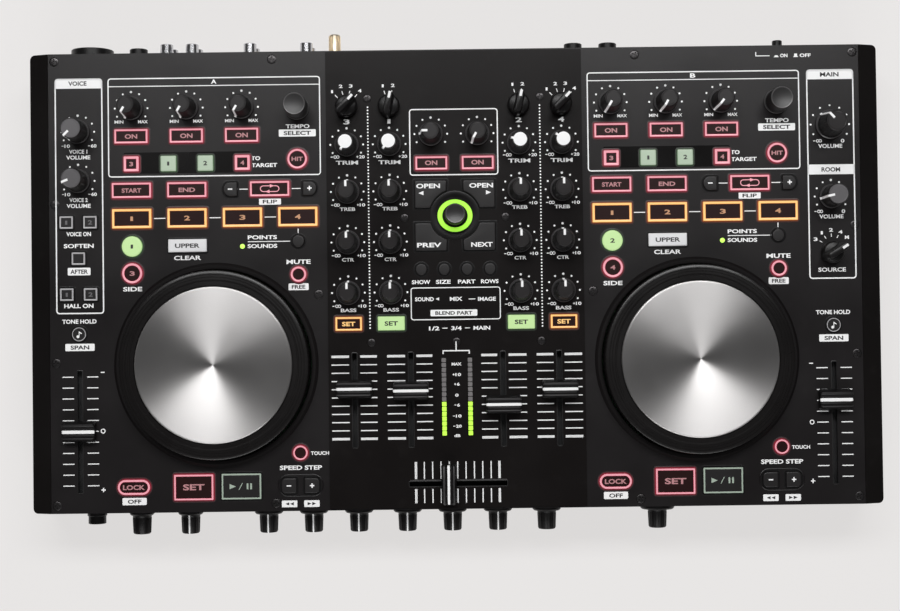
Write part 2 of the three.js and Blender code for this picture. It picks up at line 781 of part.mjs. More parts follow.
// The board carries a pot under each knob, a body under each fader and a hub under each jog wheel.
function mainBoard() {
  const width = 2 * (insideHalfWidth - mainBoardSideGap);
  const front = insideFrontY + mainBoardFrontGap;
  const rear = insideRearY - mainBoardRearGap;
  const middle = (front + rear) / 2;
  const lift = boardThickness / 2;
  const root = boardTop - lift;
  const pieces = [block(0, middle, boardLow, width, rear - front, boardThickness)];
  for (const { x, y } of knobPlaces) {
    pieces.push(block(x, y, root, potSize, potSize, potTop - root));
  }
  for (const fader of [...mixerFaders, ...pitchFaders]) {
    pieces.push(faderBlock(fader, faderBodyWidth, 2 * faderBodyEnd, root, faderBodyTop - root));
  }
  for (const side of [-1, 1]) {
    const hubTop = coverLow - platterBelowCover - seatGap;
    pieces.push(rod(side * deckMiddleX, jogY, root, jogHubRadius, hubTop - root, boreSides));
    for (const y of [front + boardPostInset, rear - boardPostInset]) {
      const x = side * (width / 2 - boardPostInset);
      pieces.push(rod(x, y, floorTop, boardPostRadius, boardStandoff + lift, holeSides));
    }
  }
  const cutHeight = boardThickness + 2 * cutOverrun;
  return cut(join(pieces), middleScrews.map(([x, y]) =>
    rod(x, y, boardLow - cutOverrun, screwPostRadius + seatGap, cutHeight, holeSides)));
}

// A socket's collar along Y, standing out of the wall, and the body behind the wall
function socketPieces({ x, z, radius, reach }, wallY, outward) {
  const insideY = wallY - outward * (caseWall + seatGap);
  const tipY = wallY + outward * reach;
  const half = radius + jackBodyMargin;
  const bodyMiddle = insideY - outward * jackBodyDepth / 2;
  const rootY = insideY - outward * jackBodyMargin;
  return [
    rodAlongY(x, z, Math.min(rootY, tipY), Math.max(rootY, tipY), radius, socketSides),
    block(x, bodyMiddle, floorTop, 2 * half, jackBodyDepth, z + half - floorTop),
  ];
}

function socketBore({ x, z, reach, bore, boreDepth }, wallY, outward) {
  const tipY = wallY + outward * (reach + cutOverrun);
  const endY = wallY + outward * (reach - boreDepth);
  return rodAlongY(x, z, Math.min(tipY, endY), Math.max(tipY, endY), bore, boreSides);
}

function rearJackBoard() {
  const bodyFront = insideRearY - seatGap - jackBodyDepth;
  const fromX = comboX - comboRadius;
  const toX = powerX + powerHousingSize / 2;
  const pieces = rearSockets.flatMap((place) => socketPieces(place, rearWallY, 1));
  pieces.push(block((fromX + toX) / 2, bodyFront + jackBodyDepth / 2, floorTop,
    toX - fromX, jackBodyDepth, boardThickness));
  const housingDepth = jackBodyDepth - powerTravel - 2 * seatGap;
  pieces.push(block(powerX, bodyFront + housingDepth / 2, floorTop,
    powerHousingSize, housingDepth, jackHeight + powerHousingSize / 2 - floorTop));
  const usbDepth = jackBodyDepth + seatGap + caseWall + usbReach;
  const usbLow = jackHeight - usbHeight / 2;
  pieces.push(block(usbX, bodyFront + usbDepth / 2, usbLow, usbWidth, usbDepth, usbHeight));
  pieces.push(block(usbX, bodyFront + jackBodyDepth / 2, floorTop,
    usbWidth, jackBodyDepth, usbLow - floorTop + jackBodyMargin));
  const bores = rearSockets.filter(({ bore }) => bore).map((place) => socketBore(place, rearWallY, 1));
  bores.push(block(usbX, rearWallY + usbReach - usbHoleDepth / 2 + cutOverrun / 2,
    jackHeight - usbHoleSize / 2, usbHoleSize, usbHoleDepth + cutOverrun, usbHoleSize));
  return cut(join(pieces), bores);
}

// One knob of the front edge: tip, body, flange and shaft, turned about a line along Y
function frontKnob(x) {
  const flangeRadius = x === frontKnobTenthX ? frontWideFlangeRadius : frontFlangeRadius;
  const tipY = frontWallY - frontReach;
  const flangeBackY = frontWallY - seatGap;
  const flangeFrontY = flangeBackY - frontFlangeThickness;
  const rootY = insideFrontY + seatGap + boardThickness / 2;
  const profile = [
    [0, tipY], [frontKnobTipRadius, tipY], [frontKnobRadius, flangeFrontY],
    [flangeRadius, flangeFrontY], [flangeRadius, flangeBackY],
    [frontShaftRadius, flangeBackY], [frontShaftRadius, rootY], [0, rootY],
  ];
  const geometry = new THREE.LatheGeometry(profile.map(([r, y]) => new THREE.Vector2(r, y)), socketSides);
  geometry.translate(x, 0, frontControlHeight);
  return toSolid(geometry);
}

function frontControlStrip() {
  const fromX = phonesX - frontBoardEnd;
  const toX = frontKnobTenthX + frontBoardEnd;
  const phones = socket(
    phonesX, frontControlHeight, jackCollarRadius, phonesReach, jackBoreRadius, jackBoreDepth);
  const strip = block((fromX + toX) / 2, insideFrontY + seatGap + boardThickness / 2, floorTop,
    toX - fromX, boardThickness, frontBoardHeight);
  const pieces = [strip, ...frontKnobXs.map(frontKnob), ...socketPieces(phones, frontWallY, -1)];
  return cut(join(pieces), [socketBore(phones, frontWallY, -1)]);
}

function meterLens() {
  const linkY = meterFrontY + meterLinkDepth / 2;
  const link = block(0, linkY, boardTop, 2 * meterX, meterLinkDepth, meterLinkDepth);
  return join([link, ...meterBars(0, boardTop, plateTop + meterRise - boardTop)]);
}

function keypad(keys, surface, web) {
  return join([...keys.map((key) => keySolid(key, surface)), ...web]);
}

function turnedKnob({ x, y, surface }, scale) {
  const skirtLow = surface + knobSkirtGap;
  const skirtTop = skirtLow + knobSkirtHeight;
  return turned(x, y, [
    [0, potTop + seatGap], [knobShaftRadius, potTop + seatGap], [knobShaftRadius, skirtLow],
    [scale * knobSkirtRadius, skirtLow], [scale * knobSkirtRadius, skirtTop],
    [scale * knobBodyRadius, skirtTop], [scale * knobCapRadius, knobTopHeight], [0, knobTopHeight],
  ], knobSides);
}

function dishedKnob({ x, y, surface }, radius) {
  const low = surface + knobSkirtGap;
  const top = knobTopHeight - encoderTopDrop;
  const dish = radius * encoderDishRadius / encoderRadius;
  return turned(x, y, [
    [0, potTop + seatGap], [knobShaftRadius, potTop + seatGap], [knobShaftRadius, low],
    [radius, low], [radius, top], [dish, top], [0, top - encoderDishDepth],
  ], knobSides);
}

// The bar points along +X before it is turned to its place on the scale.
function barKnob({ x, y, surface, restAngle }) {
  const low = surface + knobSkirtGap;
  const top = knobTopHeight - selectorTopDrop;
  const base = turned(0, 0, [
    [0, potTop + seatGap], [knobShaftRadius, potTop + seatGap], [knobShaftRadius, low],
    [selectorBaseRadius, low], [selectorBaseRadius, low + selectorBaseHeight],
    [0, low + selectorBaseHeight],
  ], knobSides);
  const bar = block(0, 0, low, selectorBarLength, selectorBarWidth, top - low);
  const geometry = toGeometry(base.add(bar));
  geometry.rotateZ(restAngle);
  geometry.translate(x, y, 0);
  return geometry;
}

function knobGeometry(place) {
  if (place.kind === 'bar') return barKnob(place);
  if (place.kind === 'encoder') return toGeometry(dishedKnob(place, encoderRadius));
  if (place.kind === 'browse') return toGeometry(dishedKnob(place, browseRadius));
  return toGeometry(turnedKnob(place, place.kind === 'large' ? largeKnobScale : 1));
}

function jogPlatter(x) {
  const low = coverLow - platterBelowCover;
  const seat = panelTop + platterTopHeight - discSeatDepth;
  const rim = discRadius + discClearance;
  return turned(x, jogY, [
    [0, low], [platterUnderRadius, low], [platterRadius, low + platterUnderHeight],
    [platterRadius, panelTop + platterSideHeight],
    [platterShoulderRadius, panelTop + platterShoulderHeight],
    [rim, panelTop + platterTopHeight], [rim, seat], [0, seat],
  ], jogSides);
}

function jogDisc(x) {
  const seat = panelTop + platterTopHeight - discSeatDepth;
  return rod(x, jogY, seat, discRadius, panelTop + discHeight - seat, jogSides);
}

// A cap with a saddle along its middle, on the stem that rides in the slot
function faderCap(fader) {
  const low = fader.surface + capGap;
  const outline = new THREE.Shape([...capFootShares, ...capTopShares].map(([across, up]) =>
    new THREE.Vector2(across * fader.capDepth, up * capHeight)));
  const geometry = new THREE.ExtrudeGeometry(outline, { depth: fader.capWidth, bevelEnabled: false });
  geometry.translate(0, 0, -fader.capWidth / 2);
  geometry.rotateX(Math.PI / 2);
  geometry.rotateZ(fader.alongX ? 0 : Math.PI / 2);
  geometry.translate(fader.capX, fader.capY, low);
  const stemLow = faderBodyTop + seatGap;
  const [stemX, stemY] = fader.alongX ? [stemDepth, stemWidth] : [stemWidth, stemDepth];
  const stem = block(fader.capX, fader.capY, stemLow, stemX, stemY, low + capGap - stemLow);
  return toSolid(geometry).add(stem);
}

function powerButton() {
  const innerY = insideRearY - seatGap - seatGap;
  return rodAlongY(powerX, jackHeight, innerY, rearWallY + powerReach, powerRadius, socketSides);
}

const controller = new THREE.Group();
controller.position.y = (frontReach - groundReach) / 2;

function addPiece(name, geometry, color, roughness, metalness = 0) {
  const mesh = new THREE.Mesh(geometry, new THREE.MeshStandardMaterial({ color, roughness, metalness }));
  mesh.name = name;
  controller.add(mesh);
}

addPiece('case_tray', toGeometry(caseTray()), 0x242122, 0.6);
addPiece('deck_cover', toGeometry(deckCover()), 0x333032, 0.5);
addPiece('mixer_faceplate', toGeometry(mixerFaceplate()), 0x1b191a, 0.35);
addPiece('main_board', toGeometry(mainBoard()), 0x1f5a33, 0.6);
addPiece('rear_jack_board', toGeometry(rearJackBoard()), 0x8a8a8c, 0.4, 0.6);
addPiece('front_control_strip', toGeometry(frontControlStrip()), 0x1d1b1c, 0.6);
addPiece('meter_lens', toGeometry(meterLens()), 0xa9e04a, 0.3);
const leftWeb = [...deckWeb(-deckMiddleX), ...micWeb];
const rightWeb = [...deckWeb(deckMiddleX), ...rightKeyLockWeb];
const mixerKeySolid = keypad(mixerKeys, plateTop, mixerWeb);
const keyReach = plateTop + keyRise + cutOverrun - plungerLow;
const keypads = {
  left_deck_keypad: keypad(leftDeckKeys, panelTop, leftWeb),
  right_deck_keypad: keypad(rightDeckKeys, panelTop, rightWeb),
  left_transport_keypad: keypad(leftTransportKeys, panelTop, transportWeb(-deckMiddleX)),
  right_transport_keypad: keypad(rightTransportKeys, panelTop, transportWeb(deckMiddleX)),
  mixer_keypad: mixerKeySolid.subtract(browseDish(browseDishRadius, plungerLow, keyReach)),
};
for (const [name, solid] of Object.entries(keypads)) addPiece(name, toGeometry(solid), 0x4a3c3f, 0.6);
for (const place of knobPlaces) addPiece(place.name, knobGeometry(place), 0x262425, 0.65);
for (const [side, sign] of [['left', -1], ['right', 1]]) {
  addPiece(`${side}_jog_platter`, toGeometry(jogPlatter(sign * deckMiddleX)), 0x1e1c1d, 0.4);
  addPiece(`${side}_jog_disc`, toGeometry(jogDisc(sign * deckMiddleX)), 0xc9c8c6, 0.3, 0.9);
}
for (const fader of [...mixerFaders, ...pitchFaders]) {
  addPiece(fader.name, toGeometry(faderCap(fader)), 0x201e1f, 0.5);
}
addPiece('power_button', toGeometry(powerButton()), 0x1b1a1a, 0.5);

export default controller;
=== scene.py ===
# DJ controller: a flat dark case with two jog wheels and a mixer between them.
# Shapes are written in millimetres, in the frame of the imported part, and turned into metres
# as they are made.
import json
import math

import bmesh
import bpy
from mathutils import Euler, Matrix, Vector


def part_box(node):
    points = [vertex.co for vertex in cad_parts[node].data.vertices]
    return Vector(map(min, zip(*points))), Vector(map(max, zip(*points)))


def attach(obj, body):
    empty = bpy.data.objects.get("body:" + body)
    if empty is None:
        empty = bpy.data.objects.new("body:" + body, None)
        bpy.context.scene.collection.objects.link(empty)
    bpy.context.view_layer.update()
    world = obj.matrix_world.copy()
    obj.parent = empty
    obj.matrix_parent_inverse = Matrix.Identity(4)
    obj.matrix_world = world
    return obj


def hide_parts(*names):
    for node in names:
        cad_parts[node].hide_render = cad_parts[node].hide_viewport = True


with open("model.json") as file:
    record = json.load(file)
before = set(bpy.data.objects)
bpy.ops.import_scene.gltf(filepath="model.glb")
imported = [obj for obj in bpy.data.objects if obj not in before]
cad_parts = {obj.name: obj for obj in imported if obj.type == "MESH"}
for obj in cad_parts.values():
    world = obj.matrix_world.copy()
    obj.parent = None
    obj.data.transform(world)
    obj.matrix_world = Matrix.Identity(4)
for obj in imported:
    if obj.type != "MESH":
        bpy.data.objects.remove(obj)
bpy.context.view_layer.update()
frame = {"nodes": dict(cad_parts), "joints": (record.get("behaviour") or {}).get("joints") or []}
nodes = frame["nodes"]
MM = 0.001

# Camera: it looks almost straight down from 0.84 m, a little in front of the middle, and is
# turned by less than a degree, as the outline of the case shows.
scene = bpy.context.scene
scene.view_settings.view_transform = "Standard"
lens = bpy.data.cameras.new("camera")
lens.lens = 62.49
lens.sensor_width = 36
lens.clip_start = 0.02
camera = bpy.data.objects.new("camera", lens)
camera.location = Vector((-3.65, -28.4, 841.28)) * MM
camera.rotation_euler = Euler([math.radians(a) for a in (1.043, -0.023, -0.729)])
scene.collection.objects.link(camera)
scene.camera = camera


# Table and light: a plain pale table, one long soft lamp behind that brightens the rear of the
# panel, another one in front, and a pale room around.
def noise(tree, coordinates, size, detail=3):
    """Noise on object coordinates with patches of about that size in mm."""
    node = tree.nodes.new("ShaderNodeTexNoise")
    node.inputs["Scale"].default_value = 1 / (size * MM)
    node.inputs["Detail"].default_value = detail
    tree.links.new(coordinates.outputs["Object"], node.inputs["Vector"])
    return node.outputs["Fac"]


def blended(tree, factor, low, high):
    """Mixes two colours by a factor."""
    node = tree.nodes.new("ShaderNodeMix")
    node.data_type = "RGBA"
    tree.links.new(factor, node.inputs["Factor"])
    for name, colour in (("A", low), ("B", high)):
        socket = next(s for s in node.inputs if s.name == name and s.type == "RGBA")
        if isinstance(colour, bpy.types.NodeSocket):
            tree.links.new(colour, socket)
        else:
            socket.default_value = (*colour, 1)
    return next(s for s in node.outputs if s.type == "RGBA")


def ranged(tree, value, low, high, start=0.3, end=0.7):
    """Spreads the part of a value between start and end over low to high."""
    node = tree.nodes.new("ShaderNodeMapRange")
    for name, limit in zip(("From Min", "From Max", "To Min", "To Max"), (start, end, low, high)):
        node.inputs[name].default_value = limit
    tree.links.new(value, node.inputs["Value"])
    return node.outputs["Result"]


def surface(name, colour, roughness, speckle=0.5, drift=0.12, pit=0.02, metallic=0.0, coat=0.0,
            glow=0.0, scuff=0.0, shine=0.5):
    """A finish whose colour drifts and speckles and whose roughness and bump follow the grain.
    speckle is the grain's size and pit its depth, in mm; scuff lightens worn patches."""
    material = bpy.data.materials.new(name)
    material.use_nodes = True
    tree = material.node_tree
    shader = tree.nodes["Principled BSDF"]
    coordinates = tree.nodes.new("ShaderNodeTexCoord")
    grain = noise(tree, coordinates, speckle)
    cloud = noise(tree, coordinates, 45, 4)
    both = tree.nodes.new("ShaderNodeMath")
    both.operation = "ADD"
    tree.links.new(ranged(tree, grain, 0, 0.5), both.inputs[0])
    tree.links.new(ranged(tree, cloud, 0, 0.5), both.inputs[1])
    tone = blended(tree, both.outputs[0], [c * (1 - drift) for c in colour],
                   [min(1, c * (1 + drift)) for c in colour])
    rough = ranged(tree, cloud, roughness - 0.05, roughness + 0.05)
    if scuff:
        worn = ranged(tree, noise(tree, coordinates, 9, 8), 0, scuff, 0.6, 0.72)
        tone = blended(tree, worn, tone, [min(1, c * 2 + 0.01) for c in colour])
    tree.links.new(tone, shader.inputs["Base Color"])
    tree.links.new(rough, shader.inputs["Roughness"])
    bump = tree.nodes.new("ShaderNodeBump")
    bump.inputs["Strength"].default_value = 0.6
    bump.inputs["Distance"].default_value = pit * MM
    tree.links.new(grain, bump.inputs["Height"])
    tree.links.new(bump.outputs["Normal"], shader.inputs["Normal"])
    shader.inputs["Metallic"].default_value = metallic
    shader.inputs["Coat Weight"].default_value = coat
    shader.inputs["Specular IOR Level"].default_value = shine
    if glow:
        shader.inputs["Emission Color"].default_value = (*colour, 1)
        shader.inputs["Emission Strength"].default_value = glow
    return material


table_half = 2500
table_mesh = bmesh.new()
table_mesh.faces.new([table_mesh.verts.new((x * table_half * MM, y * table_half * MM, 0))
                      for x, y in ((-1, -1), (1, -1), (1, 1), (-1, 1))])
table_data = bpy.data.meshes.new("table")
table_mesh.to_mesh(table_data)
table = bpy.data.objects.new("table", table_data)
scene.collection.objects.link(table)
table_paper = surface("table_paper", (0.87, 0.865, 0.86), 0.8, speckle=2, drift=0.01)
table_data.materials.append(table_paper)

# Part of the table's brightness is its own, so the shadows on it stay light.
paper_nodes, paper_links = table_paper.node_tree.nodes, table_paper.node_tree.links
path_kind = paper_nodes.new("ShaderNodeLightPath")
own_light = paper_nodes.new("ShaderNodeEmission")
own_light.inputs["Color"].default_value = (0.84, 0.82, 0.81, 1)
seen_straight = path_kind.outputs["Is Camera Ray"]
for kind in ("Is Glossy Ray", "Is Transmission Ray"):
    either = paper_nodes.new("ShaderNodeMath")
    either.operation = "MAXIMUM"
    paper_links.new(seen_straight, either.inputs[0])
    paper_links.new(path_kind.outputs[kind], either.inputs[1])
    seen_straight = either.outputs[0]
share = paper_nodes.new("ShaderNodeMath")
share.operation = "MULTIPLY"
share.inputs[1].default_value = 0.78
paper_links.new(seen_straight, share.inputs[0])
paper_mix = paper_nodes.new("ShaderNodeMixShader")
paper_links.new(share.outputs[0], paper_mix.inputs["Fac"])
paper_links.new(paper_nodes["Principled BSDF"].outputs[0], paper_mix.inputs[1])
paper_links.new(own_light.outputs[0], paper_mix.inputs[2])
paper_links.new(paper_mix.outputs[0], paper_nodes["Material Output"].inputs["Surface"])


def soft_lamp(name, place, width, depth, watts):
    """A rectangular lamp at a place in mm, aimed at the middle of the controller."""
    data = bpy.data.lights.new(name, "AREA")
    data.shape = "RECTANGLE"
    data.size, data.size_y, data.energy = width * MM, depth * MM, watts
    lamp = bpy.data.objects.new(name, data)
    lamp.location = Vector(place) * MM
    lamp.rotation_euler = (Vector((0, 0, 40)) - Vector(place)).to_track_quat("-Z", "Y").to_euler()
    scene.collection.objects.link(lamp)


soft_lamp("rear_lamp", (0, 640, 1200), 1300, 300, 14)
soft_lamp("front_lamp", (0, -1500, 1300), 1600, 600, 14)
room = bpy.data.worlds.new("room")
room.use_nodes = True
room.node_tree.nodes["Background"].inputs["Color"].default_value = (1, 1, 1, 1)
room.node_tree.nodes["Background"].inputs["Strength"].default_value = 0.06
scene.world = room

# Case: a moulded tray of black plastic with slanted side cheeks. Four rubber feet under it
# touch the table, so the finish turns to rubber below the floor of the tray.
CHARCOAL = (0.006, 0.005, 0.0048)
case_finish = surface("case_plastic", CHARCOAL, 0.45, speckle=0.6, pit=0.015, scuff=0.12, shine=0.16)
feet_top = 4.2


def by_height(material, height, low_colour):
    """Gives a finish another colour below a height in mm."""
    tree = material.node_tree
    shader = tree.nodes["Principled BSDF"]
    coordinates = tree.nodes.new("ShaderNodeTexCoord")
    split = tree.nodes.new("ShaderNodeSeparateXYZ")
    tree.links.new(coordinates.outputs["Object"], split.inputs["Vector"])
    above = ranged(tree, split.outputs["Z"], 0, 1, (height - 0.1) * MM, (height + 0.1) * MM)
    tone = shader.inputs["Base Color"].links[0].from_socket
    tree.links.new(blended(tree, above, low_colour, tone), shader.inputs["Base Color"])


def dress(node, material):
    """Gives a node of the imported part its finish."""
    for place in nodes[node].material_slots:
        place.material = material


by_height(case_finish, feet_top, (0.03, 0.03, 0.03))
dress("case_tray", case_finish)

# Deck cover: sheet steel with a dark satin powder coat, screwed to the tray. Each jog wheel
# turns inside a raised plastic ring that lies on it.
PANEL_TOP = 40
PLATE_TOP = 41
DECKS = {"left": -123.2, "right": 123.2}
JOG_Y = -42.7
cover_finish = surface("cover_powder_coat", (0.0095, 0.008, 0.0085), 0.35, speckle=0.45, pit=0.012,
                       scuff=0.1, shine=0.34)
dress("deck_cover", cover_finish)
bezel_finish = surface("bezel_plastic", (0.0075, 0.0062, 0.0064), 0.55, speckle=0.45, pit=0.012, shine=0.14)
gloss_black = surface("gloss_black", (0.005, 0.0044, 0.0044), 0.24, speckle=0.8, pit=0.003, scuff=0.1,
                      shine=0.22)


def skin(mesh, rings, finishes, lid=None, tube=False):
    """Joins rings of points in mm into a closed shape. Each band between two rings has its
    finish; lid is the finish of the last face, and a tube joins its last ring to its first."""
    rows = [[mesh.verts.new(Vector(point) * MM) for point in ring] for ring in rings]
    pairs = list(zip(rows, rows[1:])) + ([(rows[-1], rows[0])] if tube else [])
    for (low, high), finish in zip(pairs, finishes):
        for i in range(len(low)):
            face = mesh.faces.new((low[i - 1], low[i], high[i], high[i - 1]))
            face.material_index = finish
            face.smooth = True
    if not tube:
        mesh.faces.new(rows[0][::-1]).material_index = finishes[0]
        mesh.faces.new(rows[-1]).material_index = finishes[-1] if lid is None else lid


def circle(x, y, radius, sides=32):
    """Outline of a circle that can be drawn smaller by an inset."""
    turns = [math.tau * i / sides for i in range(sides)]
    return lambda inset: [(x + (radius - inset) * math.cos(a), y + (radius - inset) * math.sin(a))
                          for a in turns]


def stack(mesh, outline, levels, lid=None, tube=False):
    """Skins an outline level by level. A level is its inset, its height and the finish below it."""
    rings = [[(x, y, height) for x, y in outline(inset)] for inset, height, _ in levels]
    finishes = [finish for _, _, finish in levels[1:]] + [levels[0][2]]
    skin(mesh, rings, finishes, lid, tube)


def turned(mesh, x, y, profile, sides=48, finish=0, lid=None, tube=False):
    """Turns a profile of radius and height, in mm, about a vertical axis."""
    reach = max(point[0] for point in profile)
    stack(mesh, circle(x, y, reach, sides),
          [(reach - point[0], point[1], point[2] if len(point) > 2 else finish) for point in profile],
          lid, tube)


def piece(name, mesh, body, finishes, stands_for=(), sharp=35):
    """Makes a finished piece of a mesh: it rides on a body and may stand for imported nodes."""
    bmesh.ops.recalc_face_normals(mesh, faces=mesh.faces)
    data = bpy.data.meshes.new(name)
    mesh.to_mesh(data)
    mesh.free()
    data.set_sharp_from_angle(angle=math.radians(sharp))
    for material in finishes:
        data.materials.append(material)
    made = bpy.data.objects.new(name, data)
    scene.collection.objects.link(made)
    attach(made, body)
    if stands_for:
        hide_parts(*stands_for)
    return made


for side, middle in DECKS.items():
    ring = bmesh.new()
    turned(ring, middle, JOG_Y, [(52.4, 39.9), (52.4, 40.2), (51.2, 41.5), (50.95, 41.68), (49.5, 41.68),
                                 (49.2, 41.6), (48.95, 41.3), (48.9, 39.9)], sides=144, tube=True)
    piece(side + "_jog_bezel", ring, "chassis", [bezel_finish])

# Screws: black cross-head screws sit in their seats along the edges of the cover and on the
# mixer plate. Geometry Nodes copy one head to every seat and turn each by a fixed chance.


def copies_tree():
    """Node tree that puts copies of a shape on a ring or a row, and that pattern at each place."""
    tree = bpy.data.node_groups.new("copies", "GeometryNodeTree")
    kinds = {"Places": "Geometry", "Shape": "Object", "Count": "Int", "Radius": "Float",
             "First angle": "Float", "Angle step": "Float", "Row step": "Vector", "Spin": "Float",
             "Finish": "Material"}
    keys = {name: tree.interface.new_socket(name, in_out="INPUT", socket_type="NodeSocket" + kind).identifier
            for name, kind in kinds.items()}
    tree.interface.new_socket("Copies", in_out="OUTPUT", socket_type="NodeSocketGeometry")

    def node(kind, **sockets):
        made = tree.nodes.new(kind)
        for name, source in sockets.items():
            tree.links.new(source, made.inputs[name.replace("_", " ")])
        return made

    def maths(operation, *sources):
        made = tree.nodes.new("ShaderNodeMath")
        made.operation = operation
        for place, source in zip(made.inputs, sources):
            tree.links.new(source, place)
        return made.outputs[0]

    given = tree.nodes.new("NodeGroupInput").outputs
    index = tree.nodes.new("GeometryNodeInputIndex").outputs[0]
    angle = maths("MULTIPLY_ADD", index, given["Angle step"], given["First angle"])
    arm = node("ShaderNodeCombineXYZ", X=maths("MULTIPLY", maths("COSINE", angle), given["Radius"]),
               Y=maths("MULTIPLY", maths("SINE", angle), given["Radius"])).outputs[0]
    along = tree.nodes.new("ShaderNodeVectorMath")
    along.operation = "SCALE"
    tree.links.new(given["Row step"], along.inputs[0])
    tree.links.new(index, along.inputs["Scale"])
    spot = tree.nodes.new("ShaderNodeVectorMath")
    tree.links.new(arm, spot.inputs[0])
    tree.links.new(along.outputs[0], spot.inputs[1])
    points = node("GeometryNodePoints", Count=given["Count"], Position=spot.outputs[0])
    shape = node("GeometryNodeObjectInfo", Object=given["Shape"])
    facing = node("ShaderNodeCombineXYZ", Z=angle)
    pattern = node("GeometryNodeInstanceOnPoints", Points=points.outputs[0],
                   Instance=shape.outputs["Geometry"], Rotation=facing.outputs[0])
    chance = tree.nodes.new("FunctionNodeRandomValue")
    chance.inputs["Seed"].default_value = 7
    tree.links.new(given["Spin"], chance.inputs["Max"])
    turn = node("ShaderNodeCombineXYZ", Z=next(s for s in chance.outputs if s.enabled))
    seats = node("GeometryNodeMeshToPoints", Mesh=given["Places"])
    spread = node("GeometryNodeInstanceOnPoints", Points=seats.outputs[0], Instance=pattern.outputs[0],
                  Rotation=turn.outputs[0])
    solid = node("GeometryNodeRealizeInstances", Geometry=spread.outputs[0])
    dressed = node("GeometryNodeSetMaterial", Geometry=solid.outputs[0], Material=given["Finish"])
    out = tree.nodes.new("NodeGroupOutput")
    tree.links.new(dressed.outputs[0], out.inputs[0])
    return tree, keys


copy_tree, copy_keys = copies_tree()


def copies(shape, finish, places, count=1, radius=0, first=0, step=0, row=(0, 0, 0), spin=0):
    """Copies a shape in mm round a ring (angles in degrees) or along a row, at each place in mm,
    and returns the plain mesh."""
    pattern = bpy.data.meshes.new("pattern")
    shape.to_mesh(pattern)
    shape.free()
    single = bpy.data.objects.new("single", pattern)
    seats = bpy.data.meshes.new("seats")
    seats.from_pydata([Vector(place) * MM for place in places], [], [])
    holder = bpy.data.objects.new("holder", seats)
    for made in (single, holder):
        scene.collection.objects.link(made)
    modifier = holder.modifiers.new("copies", "NODES")
    modifier.node_group = copy_tree
    values = {"Shape": single, "Count": count, "Radius": radius * MM, "First angle": math.radians(first),
              "Angle step": math.radians(step), "Row step": [v * MM for v in row], "Spin": math.radians(spin),
              "Finish": finish}
    for name, value in values.items():
        modifier[copy_keys[name]] = value
    seen = holder.evaluated_get(bpy.context.evaluated_depsgraph_get())
    result = bpy.data.meshes.new_from_object(seen)
    for made in (holder, single):
        bpy.data.objects.remove(made)
    return result


def added(mesh, data, finish=0, matrix=None):
    """Adds a plain mesh to a piece under one finish of that piece."""
    known = len(mesh.faces)
    first_vertex = len(mesh.verts)
    mesh.from_mesh(data)
    mesh.faces.ensure_lookup_table()
    mesh.verts.ensure_lookup_table()
    for face in mesh.faces[known:]:
        face.material_index = finish
    if matrix is not None:
        bmesh.ops.transform(mesh, matrix=matrix, verts=mesh.verts[first_vertex:])


def screw_head(radius, top):
    """Pan head with a cross recess: a crown cut by two slots, as one closed skin."""
    head = bmesh.new()
    slot, reach, depth = 0.28 * radius, 0.62 * radius, 0.5
    turned(head, 0, 0, [(radius, -1), (radius, -0.35), (0.93 * radius, -0.12), (0.78 * radius, 0)], 28)
    cross = [(x * c - y * s, x * s + y * c) for c, s in ((1, 0), (0, 1), (-1, 0), (0, -1))
             for x, y in ((reach, -slot / 2), (reach, slot / 2), (slot / 2, slot / 2))]
    lid = max(head.faces, key=lambda f: f.calc_center_median().z)
    head.faces.remove(lid)
    rim = [v for v in head.verts if abs(v.co.z) < 1e-7]
    rim.sort(key=lambda v: math.atan2(v.co.y, v.co.x))
    mouth = [head.verts.new((x * MM, y * MM, 0)) for x, y in cross]
    base = [head.verts.new((x * 0.8 * MM, y * 0.8 * MM, -depth * MM)) for x, y in cross]
    edges = [head.edges.get((rim[i - 1], rim[i])) for i in range(len(rim))]
    edges += [head.edges.new((mouth[i - 1], mouth[i])) for i in range(len(mouth))]
    bmesh.ops.triangle_fill(head, use_beauty=True, use_dissolve=False, edges=edges)
    for i in range(len(mouth)):
        head.faces.new((mouth[i - 1], mouth[i], base[i], base[i - 1]))
    head.faces.new(base)
    bmesh.ops.translate(head, vec=(0, 0, top * MM), verts=head.verts)
    return head


screw_finish = surface("blackened_steel", (0.05, 0.047, 0.048), 0.32, speckle=0.3, pit=0.01, metallic=0.8)
# Places of the seats along the edges of the cover, and how far a head lies below the sheet
SEAT_X, SEAT_Y, SUNK = 205.3, 114, 0.05
cover_seats = [(-SEAT_X, 40.4, 0), (SEAT_X, 25, 0), (-SEAT_X, -41, 0), (SEAT_X, -41, 0)]
cover_seats += [(x * across, y * SEAT_Y, 0) for across in (SEAT_X, 93.3) for x in (-1, 1) for y in (-1, 1)]
cover_seats += [(-70.4, -7.3, 0), (70.4, -7.3, 0)]
plate_seats = [(x * across, y, 0) for x in (-1, 1) for across, y in ((44.4, 93), (25.9, 31.4), (43.5, -32.4))]
plate_seats += [(0, -32.4, 0)]
screws = bmesh.new()
for radius, level, seats in ((2.35, PANEL_TOP, cover_seats), (2.05, PLATE_TOP, plate_seats)):
    added(screws, copies(screw_head(radius, level - SUNK), screw_finish, seats, spin=90))
piece("panel_screws", screws, "chassis", [screw_finish])

# Mixer plate: a separate sheet with a darker satin coat, screwed on over the middle of the
# cover. The main board shows only as a shadow through the slots below it.
plate_finish = surface("mixer_plate_coat", (0.0068, 0.0054, 0.0053), 0.35, speckle=0.4, pit=0.012, scuff=0.1,
                       shine=0.15)
dress("mixer_faceplate", plate_finish)
board_finish = surface("board_parts", (0.02, 0.02, 0.021), 0.5, speckle=0.7, pit=0.02)
BOARD_TOP, BOARD_GREEN = 27.7, (0.012, 0.07, 0.025)
by_height(board_finish, BOARD_TOP, BOARD_GREEN)
dress("main_board", board_finish)

